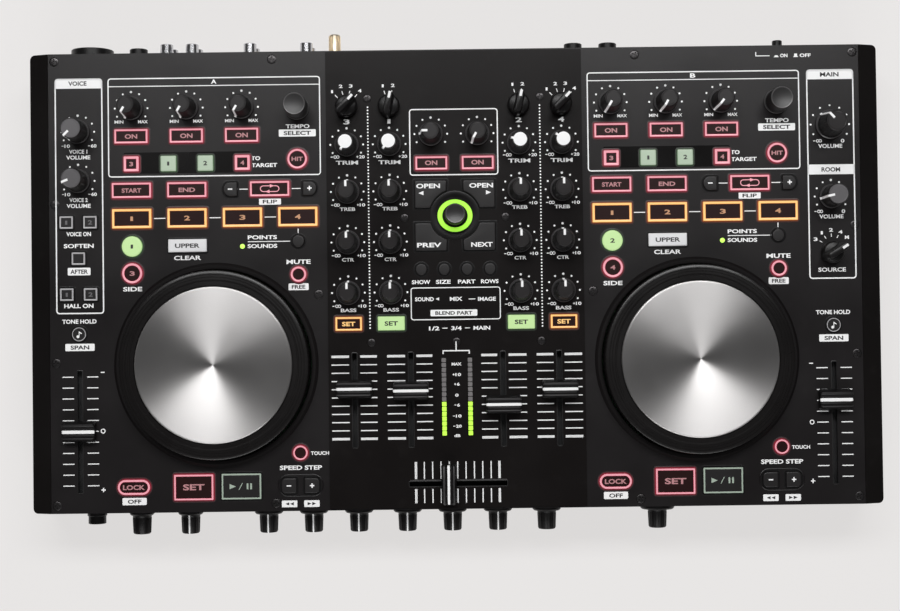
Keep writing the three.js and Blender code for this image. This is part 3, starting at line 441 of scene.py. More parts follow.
# Level meter: two bars of lamps on a dark moulding between the channel faders. The lowest
# lamps are lit; the segments are copied along each bar.
METER_PITCH, METER_SEGMENTS, METER_LIT = 2.5, 16, 7
lamp_lit = surface("lamp_lime_lit", (0.42, 0.72, 0.07), 0.35, glow=0.75, drift=0.05)
lamp_dim = surface("lamp_dim", (0.2, 0.19, 0.19), 0.3, speckle=0.5, coat=0.3)


def slab(mesh, outline, low, high, finish=0, edge=0.1):
    """A flat piece with a small chamfer round its top."""
    stack(mesh, outline, [(0, low, finish), (0, high - edge, finish), (edge, high, finish)])


def rounded(x, y, width, depth, radius=0.5, steps=3):
    """Outline of a rectangle with rounded corners. The radius may differ for each corner,
    starting at the rear right and going round to the left."""
    radii = radius if isinstance(radius, tuple) else (radius,) * 4

    def outline(inset):
        points = []
        for quarter, (sx, sy) in enumerate(((1, 1), (-1, 1), (-1, -1), (1, -1))):
            half_x, half_y = width / 2 - inset, depth / 2 - inset
            r = min(max(radii[quarter] - inset, 0.02), half_x, half_y)
            for step in range(steps + 1):
                a = math.radians(90 * (quarter + step / steps))
                points.append((x + sx * (half_x - r) + r * math.cos(a),
                               y + sy * (half_y - r) + r * math.sin(a)))
        return points
    return outline


METER_X, METER_LOW, METER_HIGH = 6.7, -80.5, -40.4
meter = bmesh.new()
for finish, first, count in ((0, 0, METER_LIT), (1, METER_LIT, METER_SEGMENTS - METER_LIT)):
    segment = bmesh.new()
    slab(segment, rounded(0, 0, 2.3, METER_PITCH - 0.3, 0.2, 1), 39.4, 41.1)
    start = METER_LOW + METER_PITCH / 2 + first * METER_PITCH
    places = [(x, start, 0) for x in (-METER_X, METER_X)]
    added(meter, copies(segment, lamp_lit, places, count, row=(0, METER_PITCH, 0)), finish)
for x in (-METER_X, METER_X):
    middle_y, length = (METER_LOW + METER_HIGH) / 2, METER_HIGH - METER_LOW
    slab(meter, rounded(x, middle_y, 2.4, length, 0.2, 1), 30, 39.3, 2)
slab(meter, rounded(0, -79, 13.4, 3, 0.3, 1), 27.8, 30.6, 2)
piece("meter_lamps", meter, "chassis", [lamp_lit, lamp_dim, gloss_black], ["meter_lens"])

# Jog wheels: a grooved plastic platter with fine grips on its side, and a spun aluminium disc
# sunk in it. The disc's turning marks run round, so it shines in two fans.
platter_finish = surface("platter_plastic", (0.0075, 0.0066, 0.0066), 0.3, speckle=0.5, pit=0.012, coat=0.05,
                         scuff=0.1, shine=0.3)


def spun_metal(name, centre):
    """Aluminium turned on a lathe: rings of fine marks round the centre, with a radial shine."""
    material = surface(name, (0.63, 0.615, 0.61), 0.42, speckle=0.4, drift=0.04, pit=0.002, metallic=1.0)
    tree = material.node_tree
    shader = tree.nodes["Principled BSDF"]
    coordinates = tree.nodes.new("ShaderNodeTexCoord")

    def vector_maths(operation, source, second=None):
        """One step of vector arithmetic on a source."""
        node = tree.nodes.new("ShaderNodeVectorMath")
        node.operation = operation
        if second is not None:
            node.inputs[1].default_value = second
        tree.links.new(source, node.inputs[0])
        return node.outputs

    arm = vector_maths("SUBTRACT", coordinates.outputs["Object"], Vector(centre) * MM)[0]
    flat = vector_maths("MULTIPLY", arm, (1, 1, 0))[0]
    world = tree.nodes.new("ShaderNodeVectorTransform")
    world.vector_type, world.convert_from, world.convert_to = "VECTOR", "OBJECT", "WORLD"
    tree.links.new(flat, world.inputs[0])
    tree.links.new(vector_maths("NORMALIZE", world.outputs[0])[0], shader.inputs["Tangent"])
    shader.inputs["Anisotropic"].default_value = 0.82
    rings = tree.nodes.new("ShaderNodeTexNoise")
    rings.noise_dimensions = "1D"
    rings.inputs["Scale"].default_value = 1 / (0.35 * MM)
    tree.links.new(vector_maths("LENGTH", flat)["Value"], rings.inputs["W"])
    tree.links.new(rings.outputs["Fac"], tree.nodes["Bump"].inputs["Height"])
    return material


for side, middle in DECKS.items():
    wheel = bmesh.new()
    turned(wheel, middle, JOG_Y, [
        (40.35, 50.2), (40.35, 51.0), (40.5, 51.15), (42.4, 51.1), (42.6, 51.3), (43.2, 51.35),
        (43.4, 51.1), (44.4, 51.05), (44.5, 50.85), (44.7, 50.85), (44.8, 51.03), (45.8, 50.98),
        (45.9, 50.78), (46.1, 50.78), (46.2, 50.95), (47.5, 50.85), (47.9, 50.65), (48.05, 50.3),
        (48.05, 38.0), (46.0, 35.6), (40.35, 35.6)], sides=144, tube=True)
    turned(wheel, middle, JOG_Y, [(40.45, 35.7), (40.45, 50.2)], sides=72)
    grip = bmesh.new()
    stack(grip, rounded(0, 0, 0.5, 0.9, 0.2, 1), [(0, 39.5, 0), (0, 49.2, 0), (0.15, 49.7, 0)])
    added(wheel, copies(grip, platter_finish, [(middle, JOG_Y, 0)], 120, radius=48.02, step=3))
    piece(side + "_jog_platter_ring", wheel, side + "_jog_wheel", [platter_finish],
          [side + "_jog_platter"])
    disc = bmesh.new()
    turned(disc, middle, JOG_Y, [(39.75, 50.25), (39.75, 51.9), (39.63, 52.15), (39.4, 52.32), (39.0, 52.36),
                                 (38.7, 52.32), (0.7, 52.42), (0.45, 52.3), (0.2, 52.05)], sides=144)
    piece(side + "_jog_disc_face", disc, side + "_jog_wheel",
          [spun_metal(side + "_spun_aluminium", (middle, JOG_Y, 52.4))], [side + "_jog_disc"], sharp=50)

# Turned knobs: soft black grips with fine ribs and a flat lighter cap on a smooth skirt, whose
# bevel carries a painted highlight. Each is pressed on its shaft and has a white pointer over the
# cap and down its side.
knob_rubber = surface("knob_rubber", (0.0095, 0.0085, 0.0088), 0.5, speckle=0.35, pit=0.02, shine=0.4)
knob_cap = surface("knob_cap_plastic", (0.0145, 0.0125, 0.013), 0.35, speckle=0.35, pit=0.012, shine=0.36)
pale_cap = surface("knob_cap_grey", (0.105, 0.1, 0.105), 0.4, speckle=0.35, pit=0.02)
# White marks and print carry a faint glow, a painted light that makes them brighter than the lamps alone
# would.
white_mark_painted_glow = surface("white_mark_painted_glow", (0.83, 0.83, 0.83), 0.4, speckle=0.3, drift=0.03, pit=0.004, glow=0.18)
# The skirt's bevel is painted a lighter grey than the grip: a painted highlight for the arc of light its edge
# catches.
skirt_bevel_highlight = surface("knob_skirt_painted_highlight", (0.05, 0.046, 0.048), 0.3, speckle=0.35, pit=0.006, shine=0.6)
JOINTS = {joint["child"]: joint for joint in frame["joints"]}
# Levels on which turned knobs and encoders end, and the radius of the bore for their shafts
KNOB_TOP, ENCODER_TOP, SHAFT = 55.95, 55.2, 2.8


def pointer(mesh, path, width, finish):
    """White line that follows a path of radius and height over the knob, along its +X side."""
    half = width / 2
    rings = [[(r - 0.35, -half, z - 0.3), (r, -half, z), (r, half, z), (r - 0.35, half, z - 0.3)]
             for r, z in path]
    skin(mesh, rings, [finish] * (len(rings) - 1))


def on_shaft(mesh, node, degrees):
    """Puts a shape built round the Z axis on the shaft of a node, turned by an angle."""
    shaft = Matrix.Translation((*JOINTS[node]["pos_m"][:2], 0))
    bmesh.ops.transform(mesh, verts=mesh.verts, matrix=shaft @ Matrix.Rotation(math.radians(degrees), 4, "Z"))


def grip_knob(scale, low, shoulder):
    """The body that all turned knobs share: skirt, tapered core with ribs, and a cap that
    reaches almost to the shoulder."""
    top = KNOB_TOP
    mesh = bmesh.new()
    # Finish 3 marks the skirt's bevel, which carries the painted highlight.
    turned(mesh, 0, 0, [
        (SHAFT, low - 0.3), (scale * 6.0, low), (scale * 6.2, low + 0.2), (scale * 6.2, low + 1.1),
        (scale * 5.8, low + 1.45, 3), (scale * 5.25, low + 1.5), (shoulder + 0.2, top - 0.7),
        (shoulder, top - 0.25), (shoulder - 0.3, top - 0.05), (shoulder - 0.6, top - 0.05, 1),
        (shoulder - 0.9, top - 0.2, 1)], 56, lid=1)
    rib = bmesh.new()
    foot, bend, end = (5.42 * scale, low + 1.5), (shoulder + 0.3, top - 0.6), (shoulder, top - 0.2)
    skin(rib, [[(r - 0.5, -0.24, z), (r, -0.12, z), (r, 0.12, z), (r - 0.5, 0.24, z)]
               for r, z in (foot, bend, end)], [0, 0])
    added(mesh, copies(rib, knob_rubber, [(0, 0, 0)], 30, step=12))
    data = bpy.data.meshes.new("grip")
    mesh.to_mesh(data)
    mesh.free()
    return data


def pot_knob(node, surface_height, scale=1.0, cap=knob_cap, disc=0.0):
    """A turned knob in place, with its pointer at the angle the photograph shows."""
    low, top = surface_height + 0.5, KNOB_TOP
    shoulder = 5.1 if cap == pale_cap else scale * 4.3
    mesh = bmesh.new()
    added(mesh, grip_data[(surface_height, scale, shoulder)])
    # The cap's top takes the cap finish, and the skirt's bevel takes the painted highlight.
    for face in mesh.faces:
        middle = face.calc_center_median()
        if middle.z > (top - 0.4) * MM and middle.xy.length < (shoulder - 0.25) * MM:
            face.material_index = 1
        elif (low + 1.15) * MM < middle.z < (low + 1.42) * MM and middle.xy.length > scale * 5.75 * MM:
            face.material_index = 3
    if disc:
        turned(mesh, 0, 0, [(disc, top - 0.4), (disc, top - 0.05), (disc - 0.15, top),
                            (disc - 0.5, top + 0.02)], 32, 2)
        path = [(disc - 0.3, top + 0.02), (shoulder, top - 0.02), (shoulder + 0.3, top - 0.5),
                (shoulder + 0.5, top - 2)]
    else:
        path = [(shoulder * 0.4, top), (shoulder, top), (shoulder + 0.35, top - 0.6),
                (scale * 5.7, low + 1.62), (scale * 6.18, low + 1.3)]
    pointer(mesh, path, 1.15, 2)
    on_shaft(mesh, node, 240 - JOINTS[node]["range_deg"][1])
    piece(node + "_grip", mesh, node, [knob_rubber, cap, white_mark_painted_glow, skirt_bevel_highlight], [node], sharp=20)


grip_data = {(h, s, r): grip_knob(s, h + 0.5, r) for h, s, r in (
    (PANEL_TOP, 1.0, 4.3), (PLATE_TOP, 1.0, 4.3), (PANEL_TOP, 1.22, 1.22 * 4.3), (PANEL_TOP, 1.0, 5.1))}
for node in ("mic_1_knob", "mic_2_knob", "room_volume_knob"):
    pot_knob(node, PANEL_TOP, cap=pale_cap)
pot_knob("main_volume_knob", PANEL_TOP, scale=1.22)
for side in DECKS:
    for number in (1, 2, 3):
        pot_knob(f"{side}_fx_knob_{number}", PANEL_TOP)
for number in (1, 2):
    pot_knob(f"mixer_fx_knob_{number}", PLATE_TOP)
for channel in (1, 2, 3, 4):
    pot_knob(f"level_knob_{channel}", PLATE_TOP, disc=3.45)
    for tone in ("high", "mid", "low"):
        pot_knob(f"{tone}_knob_{channel}", PLATE_TOP)

# Encoders: ribbed cylinders with a smooth dished top and a thin rim painted light grey as a
# painted highlight. The browse encoder stands in a ring of light in the middle of a round dish.
encoder_gloss = surface("encoder_gloss", (0.014, 0.013, 0.0134), 0.42, speckle=0.4, pit=0.004, shine=0.62)
# The rim and the skirt's bevel are painted light grey, a painted highlight for the arcs of light on their
# edges. The rim is also partly metallic.
encoder_rim_painted_highlight = surface("encoder_rim_painted_highlight", (0.1, 0.097, 0.098), 0.35, speckle=0.3, pit=0.004, metallic=0.3)


def encoder(node, radius, low):
    """A dished encoder knob, ribbed round its side."""
    middle = Vector(JOINTS[node]["pos_m"]) / MM
    top, skirt = ENCODER_TOP, radius + (0.5 if radius > 5.5 else 0)
    side = [(SHAFT, low - 0.3), (skirt - 0.2, low), (skirt, low + 0.2), (skirt, low + 0.9),
            (skirt - 0.3, low + 1.2, 1), (radius - 0.12, low + 1.25), (radius - 0.12, top - 0.9),
            (radius - 0.2, top - 0.3), (radius - 0.45, top - 0.02, 1), (radius - 0.8, top - 0.1, 1)]
    dish = [(share * (radius - 0.8), top - 0.1 - 0.6 * (1 - share ** 2), 2)
            for share in (0.9, 0.8, 0.65, 0.5, 0.35, 0.2, 0.05)]
    mesh = bmesh.new()
    turned(mesh, middle.x, middle.y, side + dish, 56, lid=2)
    rib = bmesh.new()
    stack(rib, rounded(0, 0, 0.5, 0.4, 0.15, 1), [(0, low + 1.3, 0), (0, top - 1.2, 0), (0.1, top - 0.9, 0)])
    added(mesh, copies(rib, knob_rubber, [(middle.x, middle.y, 0)], 36, radius=radius - 0.2, step=10))
    piece(node + "_grip", mesh, node, [knob_rubber, encoder_rim_painted_highlight, encoder_gloss], [node])


for side in DECKS:
    encoder(side + "_fx_encoder", 5.8, PANEL_TOP + 0.5)
encoder("browse_encoder", 5.2, PLATE_TOP + 0.5)
BROWSE_Y = 32.4
ring_lime = surface("ring_lime_lit", (0.36, 0.84, 0.06), 0.35, drift=0.06, glow=0.7)
ring_lime_edge = surface("ring_lime_edge", (0.12, 0.3, 0.02), 0.4, glow=0.35)
dish_black = surface("dish_black", (0.0065, 0.006, 0.006), 0.32, speckle=0.5, pit=0.008, shine=0.3)
ring = bmesh.new()
turned(ring, 0, BROWSE_Y, [(12.6, 40.95), (12.6, 41.05), (12.3, 41.1), (9.6, 41.05), (9.4, 40.95)], 72, 2,
       tube=True)
turned(ring, 0, BROWSE_Y - 0.2, [(9.1, 40.95), (9.1, 41.2), (8.9, 41.35), (6.6, 41.35, 0), (6.4, 41.2),
                                 (6.4, 40.95)], 72, 1, tube=True)
lit = [v for v in ring.verts if (v.co - Vector((0, BROWSE_Y * MM, 0))).xy.length < 9.35 * MM]
bmesh.ops.scale(ring, vec=(1, 0.93, 1), space=Matrix.Translation((0, -BROWSE_Y * MM, 0)), verts=lit)
piece("browse_light_ring", ring, "chassis", [ring_lime, ring_lime_edge, dish_black])

# Selectors: winged bar knobs on a round base that point at one of their marks, with a pale
# line at the tip of the bar.
selector_plastic = surface("selector_plastic", (0.0065, 0.0058, 0.006), 0.36, speckle=0.35, pit=0.01,
                           shine=0.3)
# The white tip carries a faint glow, a painted light that brightens it beyond the lamps.
tip_white_painted_glow = surface("tip_white_painted_glow", (0.8, 0.8, 0.8), 0.4, drift=0.04, pit=0.004, glow=0.15)
# The angle that each selector points at in the photograph
SELECTORS = {"input_selector_1": 78, "input_selector_2": 78, "input_selector_3": 48, "input_selector_4": 48,
             "room_source_selector": 33}
for node, rest in SELECTORS.items():
    floor = PANEL_TOP if node == "room_source_selector" else PLATE_TOP
    mesh = bmesh.new()
    turned(mesh, 0, 0, [(SHAFT, floor + 0.2), (5.5, floor + 0.5), (5.7, floor + 0.8), (5.6, floor + 3.6),
                        (5.2, floor + 4.6), (4.6, floor + 5)])
    stack(mesh, rounded(0, 0, 12.6, 4.4, 2.0, 4), [(0, floor + 0.6, 0), (0, floor + 5, 0), (0.45, 53.8, 0),
                                                   (0.8, 54.7, 0), (1.3, 54.9, 0)])
    slab(mesh, rounded(4.0, 0, 3.4, 1.35, 0.3, 2), 54.6, 54.98, 1)
    on_shaft(mesh, node, rest)
    piece(node + "_bar", mesh, node, [selector_plastic, tip_white_painted_glow], [node])

# Fader caps: moulded saddles with two ridges and a white line between them, pushed on the
# stems that come up through the slots. Thin trims edge the slots.
cap_plastic = surface("fader_plastic", (0.0055, 0.0048, 0.005), 0.45, speckle=0.4, pit=0.012, shine=0.2)
# The ridges' tops are painted lighter than the cap, a painted highlight: brighter on the tall caps, fainter
# on the low pitch caps.
ridge_highlight = surface("fader_ridge_painted_highlight", (0.035, 0.033, 0.034), 0.4, speckle=0.4, pit=0.01)
low_ridge = surface("fader_faint_ridge_painted_highlight", (0.01, 0.0092, 0.0096), 0.45, speckle=0.4, pit=0.01)
slot_trim = surface("slot_trim", (0.0075, 0.0068, 0.007), 0.4, speckle=0.4, pit=0.01)


def fader_cap(name, node, body, floor, across, along, rise=9.75, front=1.0, turned_along_x=False):
    """A cap from its side profile: foot, flanks, two ridges and the saddle with its white line.
    rise is its height over the floor; front shortens its front half."""
    low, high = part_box(node)
    middle = (low + high) / 2 / MM
    base, top = floor + 0.8, floor + rise
    profile = [(-0.5, base, 0), (0.5, base, 0), (0.485, base + 0.9, 0), (0.4, top - 0.6, 0),
               (0.37, top - 0.05, 0), (0.33, top, 1), (0.27, top - 0.1, 1), (0.23, top - 0.5, 0),
               (0.17, top - 1.15, 0), (0.1, top - 1.4, 0), (0.1, top - 1.3, 0), (-0.05, top - 1.3, 2),
               (-0.05, top - 1.4, 0), (-0.17, top - 1.15, 0), (-0.23, top - 0.5, 0), (-0.27, top - 0.1, 0),
               (-0.33, top, 1), (-0.37, top - 0.05, 0), (-0.4, top - 0.6, 0), (-0.485, base + 0.9, 0)]
    mesh = bmesh.new()
    half, end_share = across / 2, 0.86
    rows = []
    for x, share in ((-half, end_share), (-half + 0.5, 0.97), (-half + 0.9, 1.0), (half - 0.9, 1.0),
                     (half - 0.5, 0.97), (half, end_share)):
        height_share = 0.9 + 0.1 * (share - end_share) / (1 - end_share)
        rows.append([mesh.verts.new(Vector((x, y * along * share * (front if y < 0 else 1),
                                            base + (z - base) * height_share)) * MM) for y, z, _ in profile])
    for low_row, high_row in zip(rows, rows[1:]):
        for i in range(len(profile)):
            face = mesh.faces.new((low_row[i - 1], low_row[i], high_row[i], high_row[i - 1]))
            face.material_index = profile[i][2]
            face.smooth = True
    mesh.faces.new(rows[0][::-1])
    mesh.faces.new(rows[-1])
    slab(mesh, rounded(0, 0, 1.3, 3.6, 0.2, 1), 36, base + 0.3, 0)
    spin = Matrix.Rotation(math.radians(90), 4, "Z") if turned_along_x else Matrix.Identity(4)
    place = Matrix.Translation((middle.x * MM, middle.y * MM, 0))
    bmesh.ops.transform(mesh, verts=mesh.verts, matrix=place @ spin)
    piece(name, mesh, body, [cap_plastic, ridge_highlight if rise > 9 else low_ridge, white_mark_painted_glow], [node])


for channel in (1, 2, 3, 4):
    fader = f"channel_fader_{channel}"
    fader_cap(f"channel_cap_{channel}", fader, fader, PLATE_TOP, 18, 9.4)
fader_cap("crossfader_cap_saddle", "crossfader_cap", "crossfader", PLATE_TOP, 20, 8, turned_along_x=True)
for side in DECKS:
    fader = side + "_pitch_fader"
    fader_cap(side + "_pitch_cap", fader, fader, PANEL_TOP, 16.6, 11.4, rise=6.4, front=0.9)
COLUMN_X = 193.3
SLOTS = [(x, -61.8, 2.4, 48.2, PLATE_TOP) for x in (-52.4, -23.6, 23.6, 52.4)]
SLOTS += [(0, -104.9, 50, 2.4, PLATE_TOP)] + [(x, -76.2, 2.4, 62.4, PANEL_TOP) for x in (-COLUMN_X, COLUMN_X)]
trims = bmesh.new()
for x, y, width, length, floor in SLOTS:
    stack(trims, rounded(x, y, width + 0.9, length + 0.9, 0.9), [
        (0, floor - 0.02, 0), (0, floor + 0.12, 0), (0.1, floor + 0.16, 0), (0.43, floor + 0.16, 0),
        (0.45, floor - 0.02, 0)], tube=True)
piece("fader_slot_trims", trims, "chassis", [slot_trim])

# Keys: rubber caps with clear lit frames that come up through windows in the cover. All the
# keys of one area are moulded on one sheet of silicone, so they ride together.
ink_dark = surface("ink_dark", (0.02, 0.018, 0.02), 0.5, speckle=0.3)
KEY_FINISHES = {
    "black": surface("key_rubber", (0.0105, 0.0092, 0.0096), 0.45, speckle=0.35, pit=0.015, shine=0.4),
    "red_glow": surface("frame_red_glow", (0.38, 0.02, 0.055), 0.4, drift=0.06, glow=0.35),
    "red": surface("frame_red", (0.66, 0.28, 0.33), 0.35, drift=0.05, glow=0.55),
    "amber_glow": surface("frame_amber_glow", (0.55, 0.14, 0.015), 0.4, drift=0.06, glow=0.4),
    "amber": surface("frame_amber", (0.76, 0.46, 0.17), 0.35, drift=0.05, glow=0.6),
    "green": surface("cap_green_lit", (0.43, 0.62, 0.28), 0.4, drift=0.05, glow=0.45),
    "green_glow": surface("cap_green_glow", (0.12, 0.4, 0.1), 0.4, drift=0.05, glow=0.3),
    "white": surface("cap_white", (0.74, 0.74, 0.75), 0.45, speckle=0.4, drift=0.04, glow=0.1),
    "grey": surface("frame_grey", (0.42, 0.41, 0.42), 0.4, speckle=0.3, glow=0.1),
    "grey_green": surface("frame_grey_green", (0.36, 0.43, 0.36), 0.38, speckle=0.3, glow=0.15),
    "ink": ink_dark,
    "deep_red": surface("cap_deep_red", (0.019, 0.0052, 0.005), 0.4, speckle=0.4, pit=0.01, shine=0.2),
    "print": white_mark_painted_glow,
    "pale_green": surface("cap_pale_green_lit", (0.33, 0.41, 0.31), 0.4, drift=0.05, glow=0.45),
    "red_legend": surface("legend_red", (0.36, 0.17, 0.18), 0.4, drift=0.05, glow=0.45),
    "amber_legend": surface("legend_amber", (0.42, 0.22, 0.12), 0.4, drift=0.05, glow=0.45),
    "grey_legend": surface("legend_grey", (0.13, 0.125, 0.13), 0.4, speckle=0.3, glow=0.1),
}
KEY = {name: i for i, name in enumerate(KEY_FINISHES)}
# Looks of a key: finish of its wall, of its frame, of its middle and of its legend
LOOKS = {"red": ("red_glow", "red", "deep_red", "red_legend"),
         "amber": ("amber_glow", "amber", "deep_red", "amber_legend"),
         "grey": ("black", "grey", "black", "grey_legend"),
         "play": ("black", "grey_green", "black", "grey_green"),
         "dark": ("black", "black", "black", "print"), "green": ("green_glow", "green", "green", "ink"),
         "pale": ("green_glow", "pale_green", "pale_green", "ink"),
         "white": ("grey", "white", "white", "ink")}
FLAT_LOOKS = ("dark", "green", "pale", "white")
glyphs = {}
windows = []


def glyph(words):
    """A word as a flat plain mesh in the units of the font, made once and kept with its ends."""
    if words not in glyphs:
        curve = bpy.data.curves.new("word", "FONT")
        curve.body = words
        curve.resolution_u = 3
        curve.offset = 0.0 if words == "1" else 0.03
        curve.extrude = 0.01
        holder = bpy.data.objects.new("word", curve)
        scene.collection.objects.link(holder)
        seen = holder.evaluated_get(bpy.context.evaluated_depsgraph_get())
        data = bpy.data.meshes.new_from_object(seen)
        bpy.data.objects.remove(holder)
        xs = [v.co.x for v in data.vertices]
        glyphs[words] = (data, min(xs), max(xs))
    return glyphs[words]


# Height of a capital in the units of the font, top and root of the print over its level in mm,
# and the level on which the keys' walls end below the cover
CAPITAL = 0.73
INK_LEVEL, INK_ROOT = 0.04, -0.03
KEY_ROOT = 33.5


def word(mesh, words, x, y, width, height, level=PANEL_TOP, finish=0):
    """Letters of a given width and height in mm, centred on a place, printed on a level."""
    data, left, right = glyph(words)
    grow = Matrix.Diagonal((width / (right - left) * MM, height / CAPITAL * MM, 3 * MM, 1))
    centre = Matrix.Translation((-(left + right) / 2, -CAPITAL / 2, 0))
    place = Matrix.Translation(Vector((x, y, level)) * MM)
    added(mesh, data, finish, place @ grow @ centre)


def sign(mesh, points, x, y, level, finish=0, turn=0):
    """A small printed sign from an outline of points in mm."""
    a = math.radians(turn)
    spots = [(x + px * math.cos(a) - py * math.sin(a), y + px * math.sin(a) + py * math.cos(a))
             for px, py in points]
    skin(mesh, [[(px, py, level + z) for px, py in spots] for z in (INK_ROOT, INK_LEVEL)], [finish])


def frame_line(mesh, outline, level, width=0.55, finish=0):
    """A printed line that runs round an outline."""
    stack(mesh, outline, [(inset, level + z, finish) for inset, z in (
        (0, INK_ROOT), (0, INK_LEVEL), (width, INK_LEVEL), (width, INK_ROOT))], tube=True)


def bar(mesh, x, y, width, depth, level=PANEL_TOP, finish=0):
    """A printed straight bar."""
    half_x, half_y = width / 2, depth / 2
    sign(mesh, [(-half_x, -half_y), (half_x, -half_y), (half_x, half_y), (-half_x, half_y)],
         x, y, level, finish)


def arrow(mesh, x, y, size, level, finish=0, turn=0):
    """A printed triangle that points along +X before its turn."""
    half, wing = size / 2, size * 0.42
    sign(mesh, [(-half, -wing), (half, 0), (-half, wing)], x, y, level, finish, turn)


def plus_minus(mesh, x, y, size, level=PANEL_TOP, finish=0, plus=True):
    """A printed plus or minus sign."""
    bar(mesh, x, y, size, size * 0.27, level, finish)
    if plus:
        bar(mesh, x, y, size * 0.27, size, level + 0.005, finish)


def key(mesh, outline, look, floor=PANEL_TOP, frame_width=1.0, window=None):
    """One key: wall below the cover, lit frame with rounded edges, and a sunk middle. Its window
    has the key's own outline or another one with as many points."""
    windows.append((outline, window or outline, look, floor))
    wall, band, middle, _ = (KEY[name] for name in LOOKS[look])
    top = floor + 1.2
    if look in FLAT_LOOKS:
        levels = [(0, top - 0.55, wall), (0.15, top - 0.2, band), (0.4, top - 0.03, band), (0.8, top, middle)]
    else:
        levels = [(0, top - 0.5, wall), (0.14, top - 0.16, wall), (0.34, top, band), (frame_width, top, band),
                  (frame_width + 0.16, top - 0.1, wall), (frame_width + 0.22, top - 0.22, middle)]
    stack(mesh, outline, [(0, KEY_ROOT, KEY["black"])] + levels, middle)


def key_level(look, floor=PANEL_TOP):
    """The height of the legend on a key."""
    return floor + (1.21 if look in FLAT_LOOKS else 0.99)


def legend(mesh, words, x, y, width, height, look, floor=PANEL_TOP):
    """The legend of a key, in the finish that goes with its look."""
    word(mesh, words, x, y, width, height, key_level(look, floor), KEY[LOOKS[look][3]])


# Rectangular keys of a deck: words, place from the middle of the deck, size, corner, look,
# width of the frame, and width and height of the words
COLUMNS = (-42.6, -14.2, 14.2, 42.6)
DECK_KEYS = [("ON", x, 75.1, 17.3, 7.5, 0.5, "red", 1.0, 6.4, 2.3) for x in COLUMNS[:3]]
DECK_KEYS += [(name, COLUMNS[0] + x, 60.9, 8, 8, 0.6, look, 1.35, wide, 2.2) for x, name, look, wide in (
    (0, "3", "red", 2.0), (19, "1", "pale", 1.1), (38, "2", "pale", 2.0), (57, "4", "red", 2.0))]
DECK_KEYS += [("START", COLUMNS[0], 47.3, 20.4, 8, 0.5, "red", 1.0, 10, 2.2),
              ("END", COLUMNS[1], 47.3, 20.4, 8, 0.5, "red", 1.0, 8.5, 2.2)]
DECK_KEYS += [(name, x, 32.8, 20.4, 10.1, 0.5, "amber", 1.25, wide, 2.4)
              for name, x, wide in zip("1234", COLUMNS, (1.3, 3, 3, 3))]
DECK_KEYS += [("UPPER", COLUMNS[1], 18.6, 19.8, 6.7, 0.4, "white", 1.0, 12.6, 2.2)]
COLUMN_KEYS = [(name, x, y, wide) for y in (31.2, -5.8)
               for name, x, wide in (("1", -199.4, 1.1), ("2", -187.2, 2.2))]
LIT_LEVEL = key_level("red")


def step_keys(mesh, places, y, size, corners):
    """A minus key and a plus key, rounded at their outer ends."""
    far, near = corners
    for x, corner, is_plus in zip(places, ((near, far, far, near), (far, near, near, far)), (False, True)):
        key(mesh, rounded(x, y, size, size, corner, 5), "dark", PANEL_TOP,
            window=rounded(x, y, size, size, 0.5, 5))
        plus_minus(mesh, x, y, 2.3, key_level("dark"), KEY["print"], is_plus)


